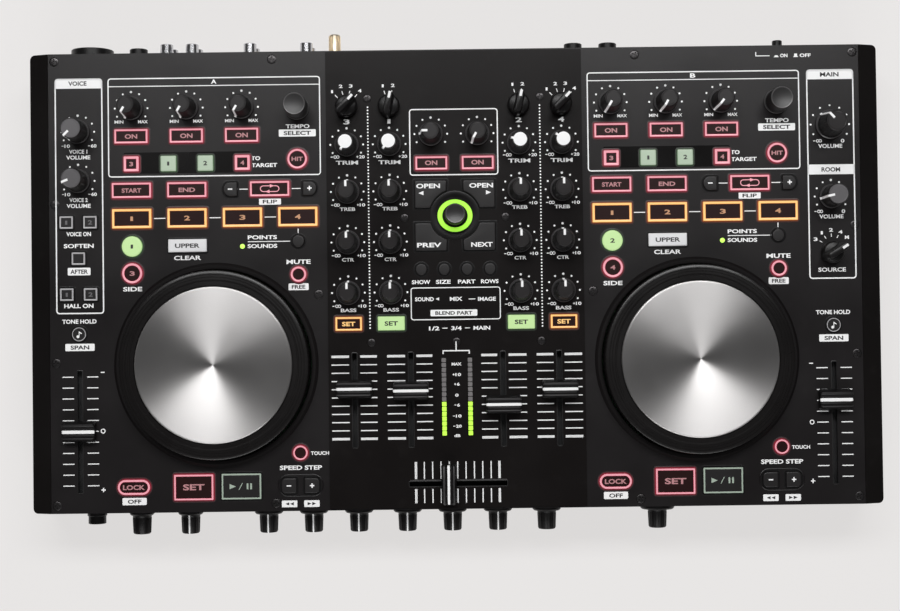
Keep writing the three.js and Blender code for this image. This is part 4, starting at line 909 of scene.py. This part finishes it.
for side, middle in DECKS.items():
    keys = bmesh.new()
    for words, x, y, width, depth, corner, look, frame_width, wide, high in DECK_KEYS:
        key(keys, rounded(middle + x, y, width, depth, corner), look, PANEL_TOP, frame_width)
        legend(keys, words, middle + x, y, wide, high, look)
    key(keys, circle(middle + COLUMNS[3], 62.5, 5.2), "red", PANEL_TOP, 1.1)
    legend(keys, "HIT", middle + COLUMNS[3], 62.5, 5.8, 2.1, "red")
    x, red = middle + 28.3, KEY["red"]
    key(keys, rounded(x, 47.3, 20.4, 8, 0.5), "red")
    frame_line(keys, rounded(x, 47.3, 10, 3.4, 1.7), LIT_LEVEL, 0.45, red)
    arrow(keys, x + 1.2, 47.3 + 1.45, 2.2, LIT_LEVEL + 0.02, red)
    arrow(keys, x - 1.2, 47.3 - 1.45, 2.2, LIT_LEVEL + 0.02, red, 180)
    step_keys(keys, (middle + 8, middle + 48.7), 47.3, 7.4, (3.4, 0.6))
    own, other, own_width = ("1", "3", 1.2) if side == "left" else ("2", "4", 2.4)
    key(keys, circle(middle + COLUMNS[0], 18.5, 5.3), "green")
    legend(keys, own, middle + COLUMNS[0], 18.5, own_width, 2.2, "green")
    key(keys, circle(middle + COLUMNS[0], 4.7, 5.3), "red", PANEL_TOP, 1.2)
    legend(keys, other, middle + COLUMNS[0], 4.7, 2.6, 2.2, "red")
    key(keys, circle(middle + COLUMNS[3], 20.2, 3.3), "dark")
    key(keys, circle(middle + COLUMNS[3], 3.2, 4.1), "red", PANEL_TOP, 1.1)
    outer = math.copysign(COLUMN_X, middle)
    key(keys, circle(outer, -26.2, 3.7), "grey", PANEL_TOP, 0.55)
    note_level, plain = key_level("grey"), KEY["print"]
    turned(keys, outer - 0.55, -27.4, [(0.75, note_level + z) for z in (INK_ROOT, INK_LEVEL)], 12, plain)
    bar(keys, outer + 0.05, -26.2, 0.35, 3.0, note_level, plain)
    sign(keys, [(0, 0.2), (1.3, -0.7), (1.35, -1.2), (0, -0.5)], outer + 0.1, -24.9, note_level + 0.01, plain)
    if side == "left":
        for name, x, y, wide in COLUMN_KEYS:
            key(keys, rounded(x, y, 7.2, 6.7, 0.6), "grey", PANEL_TOP, 0.95)
            legend(keys, name, x, y, wide, 2.2, "grey")
        key(keys, rounded(-COLUMN_X, 12.6, 7.2, 6.7, 0.6), "grey", PANEL_TOP, 0.95)
    piece(side + "_deck_keys_caps", keys, side + "_deck_keys", KEY_FINISHES.values(),
          [side + "_deck_keypad"])

    keys = bmesh.new()
    key(keys, circle(middle + COLUMNS[3], -88.2, 3.85), "red", PANEL_TOP, 0.9)
    key(keys, rounded(middle - 42.7, -104.8, 16.7, 7.9, 3.9, 8), "red", PANEL_TOP, 1.1,
        rounded(middle - 42.6, -105, 17.5, 8.6, 0.5, 8))
    legend(keys, "LOCK", middle - 42.7, -104.8, 11.2, 2.4, "red")
    key(keys, rounded(middle - 12.1, -105.2, 20.3, 13.3, 0.5), "red", PANEL_TOP, 0.95)
    legend(keys, "SET", middle - 12.1, -105, 11, 3.0, "red")
    key(keys, rounded(middle + 12.3, -105, 20.5, 13.4, 0.5), "play", PANEL_TOP, 0.95)
    lit = KEY["grey_green"]
    arrow(keys, middle + 7.8, -105, 3.2, LIT_LEVEL, lit)
    sign(keys, [(-1.1, -1.7), (-0.7, -1.7), (1.1, 1.7), (0.7, 1.7)], middle + 11.9, -105, LIT_LEVEL, lit)
    for x in (15.4, 17.2):
        bar(keys, middle + x, -105, 0.9, 3.0, LIT_LEVEL, lit)
    step_keys(keys, (middle + 36.6, middle + 48.4), -105, 8, (2.4, 0.8))
    piece(side + "_transport_keys_caps", keys, side + "_transport_keys", KEY_FINISHES.values(),
          [side + "_transport_keypad"])

# Mixer keys: two lit keys of the effects, four dark corner keys round the browse dish, four
# small round keys, and one lit key under each channel.


def corner_outline(sx, sy):
    """A square key whose inner corner is cut by the round dish, for one of the four corners."""
    def outline(inset):
        reach = 13 + inset
        near_x, far_x = 4.1 + inset, 20.7 - inset
        near_y, far_y = 3.7 + inset, 18.1 - inset
        first, last = math.acos(near_x / reach), math.asin(near_y / reach)
        arc = [first + (last - first) * i / 10 for i in range(11)]
        points = [(reach * math.cos(a), reach * math.sin(a)) for a in arc]
        bend = 0.8
        points += [(far_x - bend * 0.2, near_y), (far_x, near_y + bend)]
        points += [(far_x, far_y - bend), (far_x - bend * 0.3, far_y - bend * 0.3), (far_x - bend, far_y)]
        points += [(near_x + bend, far_y), (near_x, far_y - bend * 0.4)]
        spots = [(sx * x, BROWSE_Y + sy * y) for x, y in points]
        return spots if sx * sy > 0 else spots[::-1]
    return outline


CHANNELS = ((3, -55.1), (1, -33.3), (2, 33.3), (4, 55.1))
keys = bmesh.new()
for x in (-11.9, 11.9):
    key(keys, rounded(x + 0.1, 59.3, 16.6, 7.1, 0.5), "red", PLATE_TOP)
    legend(keys, "ON", x, 59.5, 6.4, 2.3, "red", PLATE_TOP)
for x in (-1, 1):
    key(keys, corner_outline(x, 1), "dark", PLATE_TOP)
    key(keys, corner_outline(x, -1), "dark", PLATE_TOP)
    legend(keys, "OPEN", x * 13.6, 47.6, 12.2, 2.3, "dark", PLATE_TOP)
    arrow(keys, x * 17.3, 43.9, 2.6, key_level("dark", PLATE_TOP), KEY["print"], 0 if x > 0 else 180)
legend(keys, "PREV", -13.4, 17.3, 12.4, 2.3, "dark", PLATE_TOP)
legend(keys, "NEXT", 13.6, 17.3, 11, 2.3, "dark", PLATE_TOP)
for x in (-17.625, -5.875, 5.875, 17.625):
    key(keys, circle(x, 4.8, 3.1, 28), "dark", PLATE_TOP)
for channel, x in CHANNELS:
    look, finish = ("amber", "amber") if channel > 2 else ("green", "ink")
    key(keys, rounded(x, -22.6, 13.8, 7.2, 0.5), look, PLATE_TOP)
    word(keys, "SET", x, -22.6, 6.8, 2.2, key_level(look, PLATE_TOP), KEY[finish])
piece("mixer_keys_caps", keys, "mixer_keys", KEY_FINISHES.values(), ["mixer_keypad"])

# Key collars: the thin lips of the windows that the keys stand in. Those of lit keys are washed
# by the light of the key, strongest close to it.
COLLAR_FINISHES = {
    "red": surface("collar_red", (0.16, 0.008, 0.018), 0.5, drift=0.2, glow=0.5),
    "red_far": surface("collar_red_far", (0.03, 0.006, 0.008), 0.5, drift=0.2, glow=0.4),
    "amber": surface("collar_amber", (0.12, 0.02, 0.005), 0.5, drift=0.2, glow=0.5),
    "amber_far": surface("collar_amber_far", (0.03, 0.009, 0.006), 0.5, drift=0.2, glow=0.4),
    "green": surface("collar_green", (0.015, 0.04, 0.012), 0.5, drift=0.2, glow=0.4),
    "green_far": surface("collar_green_far", (0.008, 0.014, 0.007), 0.5, drift=0.2, glow=0.3),
    # Collars of unlit keys are painted near black, darker than the cover: painted shade for the gap round the
    # key.
    "black": surface("collar_painted_shade", (0.003, 0.0028, 0.003), 0.5, speckle=0.4, shine=0.2),
    "cover": cover_finish,
}
COLLARS = {name: i for i, name in enumerate(COLLAR_FINISHES)}
LIGHTS = {"red": "red", "amber": "amber", "green": "green", "pale": "green"}
collars = bmesh.new()
for outline, window, look, floor in windows:
    light = LIGHTS.get(look)
    near, far = (light, light + "_far") if light else ("black", "black")
    reach = 1.05 if light else 0.8
    rings = [[(x, y, floor + z) for x, y in shape(inset)] for shape, inset, z in (
        (outline, -0.06, -0.4), (outline, -0.06, 0.06), (outline, -0.45, 0.06), (outline, -reach, 0.05),
        (window, -reach - 0.1, 0.02), (window, -reach - 0.1, -0.02))]
    skin(collars, rings, [COLLARS[name] for name in (near, near, far, "cover", "cover", "cover")], tube=True)
for middle in DECKS.values():
    stack(collars, rounded(middle + 42.5, -104.9, 23.6, 11.6, 5.4, 8), [
        (inset, height, COLLARS["cover"]) for inset, height in (
            (0, 39.97), (0.12, 40.35), (0.35, 40.45), (0.6, 40.3), (0.7, 39.97))], tube=True)
piece("key_collars", collars, "chassis", COLLAR_FINISHES.values())

# Printing: white silk-screen on the cover and the mixer plate, a twenty-fifth of a millimetre
# thick, with boxes, scales, numbers and short plain words or signs beside the controls.
small_lamp = surface("lamp_small_lit", (0.5, 0.9, 0.12), 0.35, glow=0.8)
grey_ink = surface("print_grey", (0.06, 0.057, 0.058), 0.45, speckle=0.3)
print_finishes = [white_mark_painted_glow, ink_dark, gloss_black, small_lamp, grey_ink]
WHITE, DARK, STRIP, LAMP, GREY = range(5)


def patch(mesh, outline, level=PANEL_TOP, finish=WHITE, thickness=INK_LEVEL):
    """A printed filled shape."""
    stack(mesh, outline, [(0, level + INK_ROOT, finish), (0, level + thickness, finish)])


def tag(mesh, words, x, y, width, depth, text_width, level=PANEL_TOP):
    """Dark words in a small white box."""
    patch(mesh, rounded(x, y, width, depth, 0.5), level)
    word(mesh, words, x, y, text_width, depth * 0.55, level + INK_LEVEL, DARK)


def infinity(mesh, x, y, level=PANEL_TOP, sign_width=2.6):
    """A minus and a lying eight, the lowest mark of a level scale."""
    bar(mesh, x - sign_width / 2 - 0.75, y, 1.1, 0.42, level)
    for offset in (-0.68, 0.68):
        frame_line(mesh, circle(x + offset + 0.35, y, 0.86, 14), level, 0.4)


def signed(mesh, text, x, y, level, positive, height=1.7):
    """A number with its sign."""
    word(mesh, text, x + 0.8, y, 1.45 * len(text), height, level)
    plus_minus(mesh, x - 0.72 * len(text) - 0.1, y, 1.1, level, WHITE, positive)


def print_table(mesh, level, words=(), bars=(), middle=0):
    """Prints tables of words (text, place, width, height) and of bars (place, width, depth)."""
    for text, x, y, width, height in words:
        word(mesh, text, middle + x, y, width, height, level)
    for x, y, width, depth in bars:
        bar(mesh, middle + x, y, width, depth, level)


DECK_WORDS = [("TEMPO", 42.9, 79.4, 12.2, 2.0), ("TO", 21.2, 63.2, 4.6, 2.0),
              ("TARGET", 25.6, 59.6, 13.2, 2.0), ("POINTS", 24.2, 22.5, 15, 2.0),
              ("SOUNDS", 24.2, 18.0, 15.2, 2.0), ("CLEAR", -14.3, 12.4, 14, 2.2),
              ("SIDE", -42.6, -3.3, 9.8, 2.2), ("MUTE", 42.6, 9.7, 12.4, 2.2),
              ("TOUCH", 52.5, -88.5, 9.3, 1.8), ("SPEED STEP", 42.7, -95.8, 21.6, 2.2)]
DECK_WORDS += [(name, column + x, 82.7, wide, 1.6) for column in COLUMNS[:3]
               for name, x, wide in (("MIN", -6.3, 4.6), ("MAX", 6.0, 5.0))]
DECK_BARS = [(0, 100.9, 108.6, 0.45), (14.9, 47.3, 6.4, 0.45), (41.75, 47.3, 6.5, 0.45),
             (28, 20.25, 22.6, 0.4), (COLUMNS[3], 25.6, 0.45, 4.3)]
DECK_BARS += [(x, 32.8, 8, 0.45) for x in (-28.4, 0, 28.4)]
DECK_TAGS = (("SELECT", 42.7, 75.9, 19, 3.7, 14), ("FLIP", 28.3, 40.8, 11.3, 3.3, 7.4),
             ("FREE", 42.5, -3.2, 10.3, 3.5, 7), ("OFF", -42.6, -112.1, 12.4, 3.7, 7))
ink = bmesh.new()
for side, middle in DECKS.items():
    patch(ink, rounded(middle - 14.1, 61.35, 65.1, 10.9, 0.8), PANEL_TOP, STRIP, 0.05)
    frame_line(ink, rounded(middle, 79.65, 109.3, 51.1, 1.6), PANEL_TOP, 0.6)
    word(ink, "A" if side == "left" else "B", middle, 103.0, 2.8, 2.2)
    print_table(ink, PANEL_TOP, DECK_WORDS, DECK_BARS, middle)
    for words, x, y, width, depth, text_width in DECK_TAGS:
        tag(ink, words, middle + x, y, width, depth, text_width)
    for x, turn in ((36.7, 180), (48.1, 0)):
        patch(ink, rounded(middle + x, -114.3, 7.9, 3.4, 0.4))
        for step in (-1.2, 1.2):
            arrow(ink, middle + x + step, -114.3, 2.0, PANEL_TOP + INK_LEVEL, DARK, turn)
    turned(ink, middle + 13.9, 17.9, [(1.25, 39.95), (1.25, 40.15), (0.9, 40.4), (0.4, 40.5)], 20, LAMP)
    outer = math.copysign(COLUMN_X, middle)
    word(ink, "TONE HOLD", outer, -19.6, 17.6, 2.1)
    tag(ink, "SPAN", outer + 0.2, -32.9, 15, 3.7, 9.6)
    sign_x = outer - math.copysign(11.7, outer)
    plus_minus(ink, sign_x, -45.8, 2.0, PANEL_TOP, WHITE, False)
    frame_line(ink, circle(sign_x, -75.9, 1.25, 20), PANEL_TOP, 0.5)
    plus_minus(ink, sign_x, -106.0, 2.2)
piece("cover_printing", ink, "chassis", print_finishes)

# The outer columns carry boxes with a white head: microphones on the left, main and room
# volume on the right. Beside the power button ON and OFF are marked.
COLUMN_WORDS = [("VOICE ON", -193.3, 25.3, 12.6, 2.1), ("SOFTEN", -193.3, 19.2, 15.4, 2.1),
                ("HALL ON", -193.5, -11.6, 15, 2.1), ("SOURCE", 193.2, 2.2, 14.2, 2.1),
                ("0", 199.7, 68.4, 1.9, 1.9), ("0", 199.5, 32.1, 1.9, 1.9)]
COLUMN_WORDS += [("VOLUME", x, y, 12.4, 2.0) for x, y in (
    (-193.2, 64.7), (-193.2, 39.8), (193.3, 65.8), (193.3, 29.5))]
COLUMN_WORDS += [("VOICE " + name, -193.2, y, 9.4, 2.0) for name, y in (("1", 67.7), ("2", 42.8))]
HEAD_CORNERS = (1.6, 1.6, 0.02, 0.02)
ink = bmesh.new()
print_table(ink, PANEL_TOP, COLUMN_WORDS, [(155.8, 113.5, 0.45, 2.2), (159.3, 112.6, 7.2, 0.45)])
for x, y, width, name, name_x, name_y, wide, corners in (
        (-192.8, 102.7, 24.6, "VOICE", -193.3, 102.8, 9.4, HEAD_CORNERS),
        (193.6, 102.7, 24.3, "MAIN", 193.4, 102.7, 9.6, HEAD_CORNERS),
        (193.6, 53.7, 24.3, "ROOM", 193.4, 53.7, 9.6, 0.02)):
    patch(ink, rounded(x, y, width, 5.1, corners))
    word(ink, name, name_x, name_y, wide, 2.2, PANEL_TOP + INK_LEVEL, DARK)
frame_line(ink, rounded(-192.8, 44.75, 24.6, 121.1, 1.6), PANEL_TOP, 0.65)
frame_line(ink, rounded(193.6, 51.3, 24.3, 107.7, 1.6), PANEL_TOP, 0.65)
for y in (70.6, 45.7):
    signed(ink, "10", -199.6, y, PANEL_TOP, False)
    signed(ink, "60", -186.0, y, PANEL_TOP, False)
tag(ink, "AFTER", -193.2, 6.0, 11.7, 3.9, 9)
for y in (68.4, 32.1):
    infinity(ink, 187.2, y)
for name, angle, wide in (("3", 150, 2.1), ("1", 122, 1.1), ("2", 92, 2.1), ("4", 62, 2.1), ("M", 36, 2.1)):
    a = math.radians(angle)
    word(ink, name, COLUMN_X + 9.6 * math.cos(a), 13.2 + 9.4 * math.sin(a), wide, 1.8)
    if name != "M":
        sign(ink, [(5.6, -0.2), (7.2, -0.2), (7.2, 0.2), (5.6, 0.2)], COLUMN_X, 13.4, PANEL_TOP, WHITE, angle)
for x, name, stands in ((170.2, "ON", 0.6), (181.2, "OFF", 1.4)):
    left = x - 1.0 * len(name) - 1.9
    bar(ink, left, 112.0, 2.4, 0.4)
    bar(ink, left, 112.2 + stands / 2, 1.5, stands)
    word(ink, name, x, 112.7, 1.9 * len(name), 1.8)
piece("column_printing", ink, "chassis", print_finishes)

# The mixer plate's print: channel numbers, level and tone scales, selector marks, the boxes
# round the effects and the small round keys, and the meter's numbers.
MIXER_WORDS = [(name, x, -1.6, wide, 2.0) for name, x, wide in (
    ("SHOW", -17.8, 9.4), ("SIZE", -6.4, 7.6), ("PART", 5.6, 9), ("ROWS", 17.4, 9))]
MIXER_WORDS += [("SOUND", -16.2, -10.4, 9.6, 2.0), ("MIX", 0, -10.4, 6.4, 2.0),
                ("IMAGE", 15.8, -10.6, 9.2, 2.0), ("1/2", -11.4, -25.4, 5.4, 2.0),
                ("3/4", 0, -25.4, 5.4, 2.0), ("MAIN", 13, -25.4, 8.6, 2.0), ("MAX", -0.2, -43.8, 5, 1.5),
                ("0", -0.2, -59.7, 1.8, 1.5), ("dB", -0.2, -80.4, 3.2, 1.5)]
MIXER_BARS = [(8.2, -10.6, 3.4, 0.4), (-5.9, -25.4, 2.6, 0.4), (5.7, -25.4, 2.6, 0.4),
              (-0.3, -34.6, 0.6, 4.6), (-0.3, -37.0, 14, 0.6), (-7.0, -37.8, 0.6, 1.6),
              (6.4, -37.8, 0.6, 1.6)]
ink = bmesh.new()
frame_line(ink, rounded(-0.2, 70.15, 45.6, 34.3, 1.6), PLATE_TOP, 0.6)
frame_line(ink, rounded(-0.2, -12.8, 46.1, 16.8, 1.4), PLATE_TOP, 0.5)
print_table(ink, PLATE_TOP, MIXER_WORDS, MIXER_BARS)
for channel, x in CHANNELS:
    word(ink, str(channel), x, 81.2, 1.6 if channel == 1 else 3.2, 2.5, PLATE_TOP)
    for y, name, wide, height, drop, most in (
            (63.1, "TRIM", 11.4, 2.0, 2.9, "20"), (38.4, "TREB", 8, 1.8, 2.1, "10"),
            (12.4, "CTR", 6.2, 1.8, 2.1, "10"), (-13.5, "BASS", 8, 1.8, 2.1, "10")):
        infinity(ink, x - 5.7, y, PLATE_TOP)
        signed(ink, most, x + 6.9, y, PLATE_TOP, True, 1.6)
        word(ink, name, x, y - drop, wide, height, PLATE_TOP)
    marks = ((48, "4"), (76.7, "3"), (105.3, "2"), (134, "1")) if channel > 2 else ((78, "2"), (106.5, "1"))
    for angle, name in marks:
        a = math.radians(angle)
        sign(ink, [(6.4, -0.22), (8.3, -0.22), (8.3, 0.22), (6.4, 0.22)], x, 89, PLATE_TOP, WHITE, angle)
        word(ink, name, x + 10.4 * math.cos(a), 89 + 10.9 * math.sin(a), 1.0 if name == "1" else 1.9, 1.7,
             PLATE_TOP)
arrow(ink, -9.6, -10.4, 1.8, PLATE_TOP, WHITE, 180)
tag(ink, "BLEND PART", -1.2, -17.6, 24, 3.3, 19, PLATE_TOP)
for y, name, positive in ((-49.2, "10", True), (-54.1, "6", True), (-64.8, "6", False), (-70.4, "10", False),
                          (-75.6, "20", False)):
    signed(ink, name, -0.2, y, PLATE_TOP, positive, 1.5)
for y in (-103.0, -106.3):
    bar(ink, 0.2, y, 49.6, 0.3, PLATE_TOP, GREY)
piece("mixer_printing", ink, "chassis", print_finishes)

# Scales: dots round every turned knob, dotted lines between the channels, and bars beside the
# faders, each one small shape that Geometry Nodes copy along its ring or row.


def dot(radius, level):
    """A small round printed dot."""
    mesh = bmesh.new()
    turned(mesh, 0, 0, [(radius, level + INK_ROOT), (radius, level + INK_LEVEL)], 12)
    return mesh


def stroke(width, depth, level):
    """A small straight printed stroke."""
    mesh = bmesh.new()
    patch(mesh, rounded(0, 0, width, depth, 0.06, 1), level)
    return mesh


RING_RADIUS = 8.4
for level, slot_name in ((PANEL_TOP, "cover"), (PLATE_TOP, "faceplate")):
    centres = [(low + high) / 2 / MM for node in nodes
               if JOINTS.get(node, {}).get("range_deg") and "selector" not in node
               for low, high in [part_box(node)]]
    on_plate = [c for c in centres if abs(c.x) < 65]
    chosen = on_plate if level == PLATE_TOP else [c for c in centres if abs(c.x) > 65]
    places = [(c.x, c.y, 0) for c in chosen if not (c.x > 190 and c.y > 70)]
    scales = bmesh.new()
    added(scales, copies(dot(0.5, level), white_mark_painted_glow, places, 9, radius=RING_RADIUS, first=210, step=-30))
    added(scales, copies(dot(0.62, level), white_mark_painted_glow, places, 1, radius=RING_RADIUS, first=90))
    if level == PANEL_TOP:
        added(scales, copies(dot(0.5, level), white_mark_painted_glow, [(COLUMN_X, 76.8, 0)], 9, radius=9.9, first=210,
                             step=-30))
        for x in (-199.3, -186.7, 187.2, 199.6):
            added(scales, copies(stroke(5.8, 0.5, level), white_mark_painted_glow, [(x, -48.1, 0)], 11, row=(0, -5.57, 0)))
    else:
        for x in (-44.2, 44.1):
            added(scales, copies(dot(0.43, level), white_mark_painted_glow, [(x, 88.5, 0)], 71, row=(0, -1.62, 0)))
        for x, wide in ((59.7, 9), (45.2, 8.6), (31.1, 9.2), (16.6, 8.2)):
            for thick, count, step in ((0.55, 11, -4.21), (1.2, 2, -42.1)):
                places = [(-x, -39.4, 0), (x, -39.4, 0)]
                added(scales, copies(stroke(wide, thick, level), white_mark_painted_glow, places, count, row=(0, step, 0)))
        for y, long in ((-98.0, 8.8), (-111.1, 7.2)):
            for thick, count, step in ((0.55, 11, 4.27), (1.15, 2, 42.7)):
                places = [(-21.6, y, 0)]
                added(scales, copies(stroke(thick, long, level), white_mark_painted_glow, places, count, row=(step, 0, 0)))
    piece(slot_name + "_scales", scales, "chassis", [white_mark_painted_glow])

# Front edge: ten small knobs and a headphone socket stand out of the front wall, fixed to a
# board behind it. The first knob is finely knurled, seven have a white line and two are plain.
EDGE_HEIGHT, WALL_Y = 20, 118
# How far the inner face of the wall and the bodies of the sockets lie behind its outer face
WALL_BACK, SOCKET_BACK = -2.3, -18.4
front_plastic = surface("front_knob_plastic", (0.0085, 0.0075, 0.0078), 0.42, speckle=0.35, pit=0.012,
                        shine=0.3)
socket_black = surface("socket_plastic", (0.009, 0.0085, 0.0088), 0.35, speckle=0.4, pit=0.01, shine=0.3)
# The bores and hollows of the sockets are black inside, painted a deeper black than the socket plastic as
# painted shade in the hollows.
throat_painted_shade = surface("socket_throat_painted_shade", (0.002, 0.002, 0.002), 0.6, speckle=0.4, shine=0.2)
edge_board = surface("edge_board", BOARD_GREEN, 0.5, speckle=0.5)
PHONES_X, PLAIN_X = -189.4, (-165.9, 46.2, 104.2)
LINED_X = (-140.4, -99.4, -75.8, -52.1, -26.7, -3.1, 20.6)


def stand_out(mesh, wall):
    """Turns a shape built along Z so that it stands out of the front (-1) or rear (1) wall."""
    place = Matrix.Translation(Vector((0, wall * WALL_Y, EDGE_HEIGHT)) * MM)
    tilt = Matrix.Rotation(math.radians(-90 * wall), 4, "X")
    bmesh.ops.transform(mesh, verts=mesh.verts, matrix=place @ tilt)


def flute(low_radius, low, high_radius, high, half):
    """A thin rib along a knob that stands out of a wall."""
    mesh = bmesh.new()
    skin(mesh, [[(r - 0.5, -2 * half, z), (r, -half, z), (r, half, z), (r - 0.5, 2 * half, z)]
                for r, z in ((low_radius, low), (high_radius, high))], [0])
    return mesh


front = bmesh.new()
for x in PLAIN_X + LINED_X:
    flange = {PLAIN_X[0]: 6.4, LINED_X[0]: 6.5, PLAIN_X[2]: 8.9}.get(x, 7.4)
    turned(front, x, 0, [(2.9, -3.3), (2.9, 0.3), (flange - 0.2, 0.3), (flange, 0.5), (flange, 2.5),
                         (flange - 0.7, 3.25), (5.1, 3.4), (4.95, 3.6), (4.8, 4.8), (4.48, 12.5), (4.2, 12.9),
                         (3.8, 13.0)], 40)
places = [(x, 0, 0) for x in PLAIN_X[1:] + LINED_X]
added(front, copies(flute(4.95, 4.5, 4.62, 12.3, 0.12), front_plastic, places, 18, first=10, step=20))
added(front, copies(flute(4.95, 4.5, 4.62, 12.3, 0.06), front_plastic, [(PLAIN_X[0], 0, 0)], 40, step=9))
for x in LINED_X:
    path = [(7.0, 3.1), (5.15, 3.55), (5.02, 4.8), (4.7, 12.4), (4.3, 12.96)]
    left, right = x - 0.37, x + 0.37
    skin(front, [[(left, r - 0.3, z - 0.02), (left, r, z), (right, r, z), (right, r - 0.3, z - 0.02)]
                 for r, z in path], [1] * (len(path) - 1))
turned(front, PHONES_X, 0, [
    (5.7, SOCKET_BACK), (5.7, WALL_BACK - 0.1), (4.7, WALL_BACK), (4.7, 0.1), (5.1, 0.15), (5.1, 3.0),
    (4.85, 3.3), (4.6, 3.35), (4.6, 7.15), (4.35, 7.4), (3.5, 7.4), (3.3, 7.1), (3.3, -11, 3)], 40, 2, lid=3)
board_x, board_width = (PHONES_X + PLAIN_X[2]) / 2, PLAIN_X[2] - PHONES_X + 24
slab(front, rounded(board_x, -3, board_width, 22, 0.3), WALL_BACK - 1.6, WALL_BACK, 4)
stand_out(front, -1)
piece("front_controls", front, "chassis",
      [front_plastic, white_mark_painted_glow, socket_black, throat_painted_shade, edge_board], ["front_control_strip"])

# Rear edge: black microphone and output sockets, bright phono sockets in two rows, a knurled
# brass ground terminal, a data socket and a supply inlet, all soldered to one board.
bright_shell = surface("nickel_shell", (0.62, 0.62, 0.64), 0.22, speckle=0.3, drift=0.06, pit=0.004,
                       metallic=1.0)
brass = surface("knurled_brass", (0.66, 0.57, 0.44), 0.34, speckle=0.3, drift=0.1, pit=0.01, metallic=0.9)
rear = bmesh.new()


def round_socket(x, height, radius, reach, bore, depth, finish):
    """A round socket: body behind the wall, collar through it, and a bore."""
    y = EDGE_HEIGHT - height
    turned(rear, x, y, [
        (radius + 1, SOCKET_BACK, 0), (radius + 1, WALL_BACK - 0.1, 0), (radius, WALL_BACK, 0),
        (radius, reach - 0.35), (radius - 0.35, reach), (bore + 0.3, reach), (bore, reach - 0.3),
        (bore, reach - depth, 1)], 44, finish, lid=1)


BLACK_SOCKETS = [(-189.8, 11, 5.2, 3.3, 17), (148, 4.6, 0.6, 2.7, 9)]
BLACK_SOCKETS += [(x, 4.7, 5.5, 3.3, 17) for x in (-165.5, 63.3, 81.5)]
for x, radius, reach, bore, depth in BLACK_SOCKETS:
    round_socket(x, EDGE_HEIGHT, radius, reach, bore, depth, 0)
for x in (-149.1, -135.9, -105.7, -76.3):
    for height in (14, 29):
        round_socket(x, height, 3.3, 6.2, 1.7, 8, 2)
GROUND_X, GROUND_Y, DATA_X = -62.6, 6, -48.5
turned(rear, GROUND_X, GROUND_Y, [(2.6, SOCKET_BACK), (2.6, 0.1), (3.0, 0.15), (3.0, 0.9), (2.5, 1.0),
                                  (2.5, 1.5), (3.0, 1.7), (3.0, 12.3), (2.6, 13.0)], 40, 3)
added(rear, copies(flute(3.2, 1.9, 3.2, 12.1, 0.07), brass, [(GROUND_X, GROUND_Y, 0)], 34, step=360 / 34), 3)
stack(rear, rounded(DATA_X, 0, 8.4, 7.8, 0.4), [
    (0, SOCKET_BACK, 0), (0, 1.4, 2), (0.2, 1.6, 2), (1.15, 1.6, 2), (1.3, 1.45, 2), (1.3, -7.4, 1)], lid=1)
slab(rear, rounded(-12.65, 13.2, 376, 1.6, 0.1), SOCKET_BACK, WALL_BACK, 4)
stand_out(rear, 1)
piece("rear_sockets", rear, "chassis",
      [socket_black, throat_painted_shade, bright_shell, brass, edge_board], ["rear_jack_board"])

# Power button: a round black plastic button that is pressed into the rear wall.
button = bmesh.new()
inner_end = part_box("power_button")[0].y / MM - WALL_Y
turned(button, 171, 0, [(2.5, inner_end), (2.5, 0.9), (2.6, 1.0), (2.6, 5.6), (2.3, 5.95), (1.6, 5.85),
                        (0.3, 5.8)], 36)
stand_out(button, 1)
piece("power_button_cap", button, "power_button", [socket_black], ["power_button"])
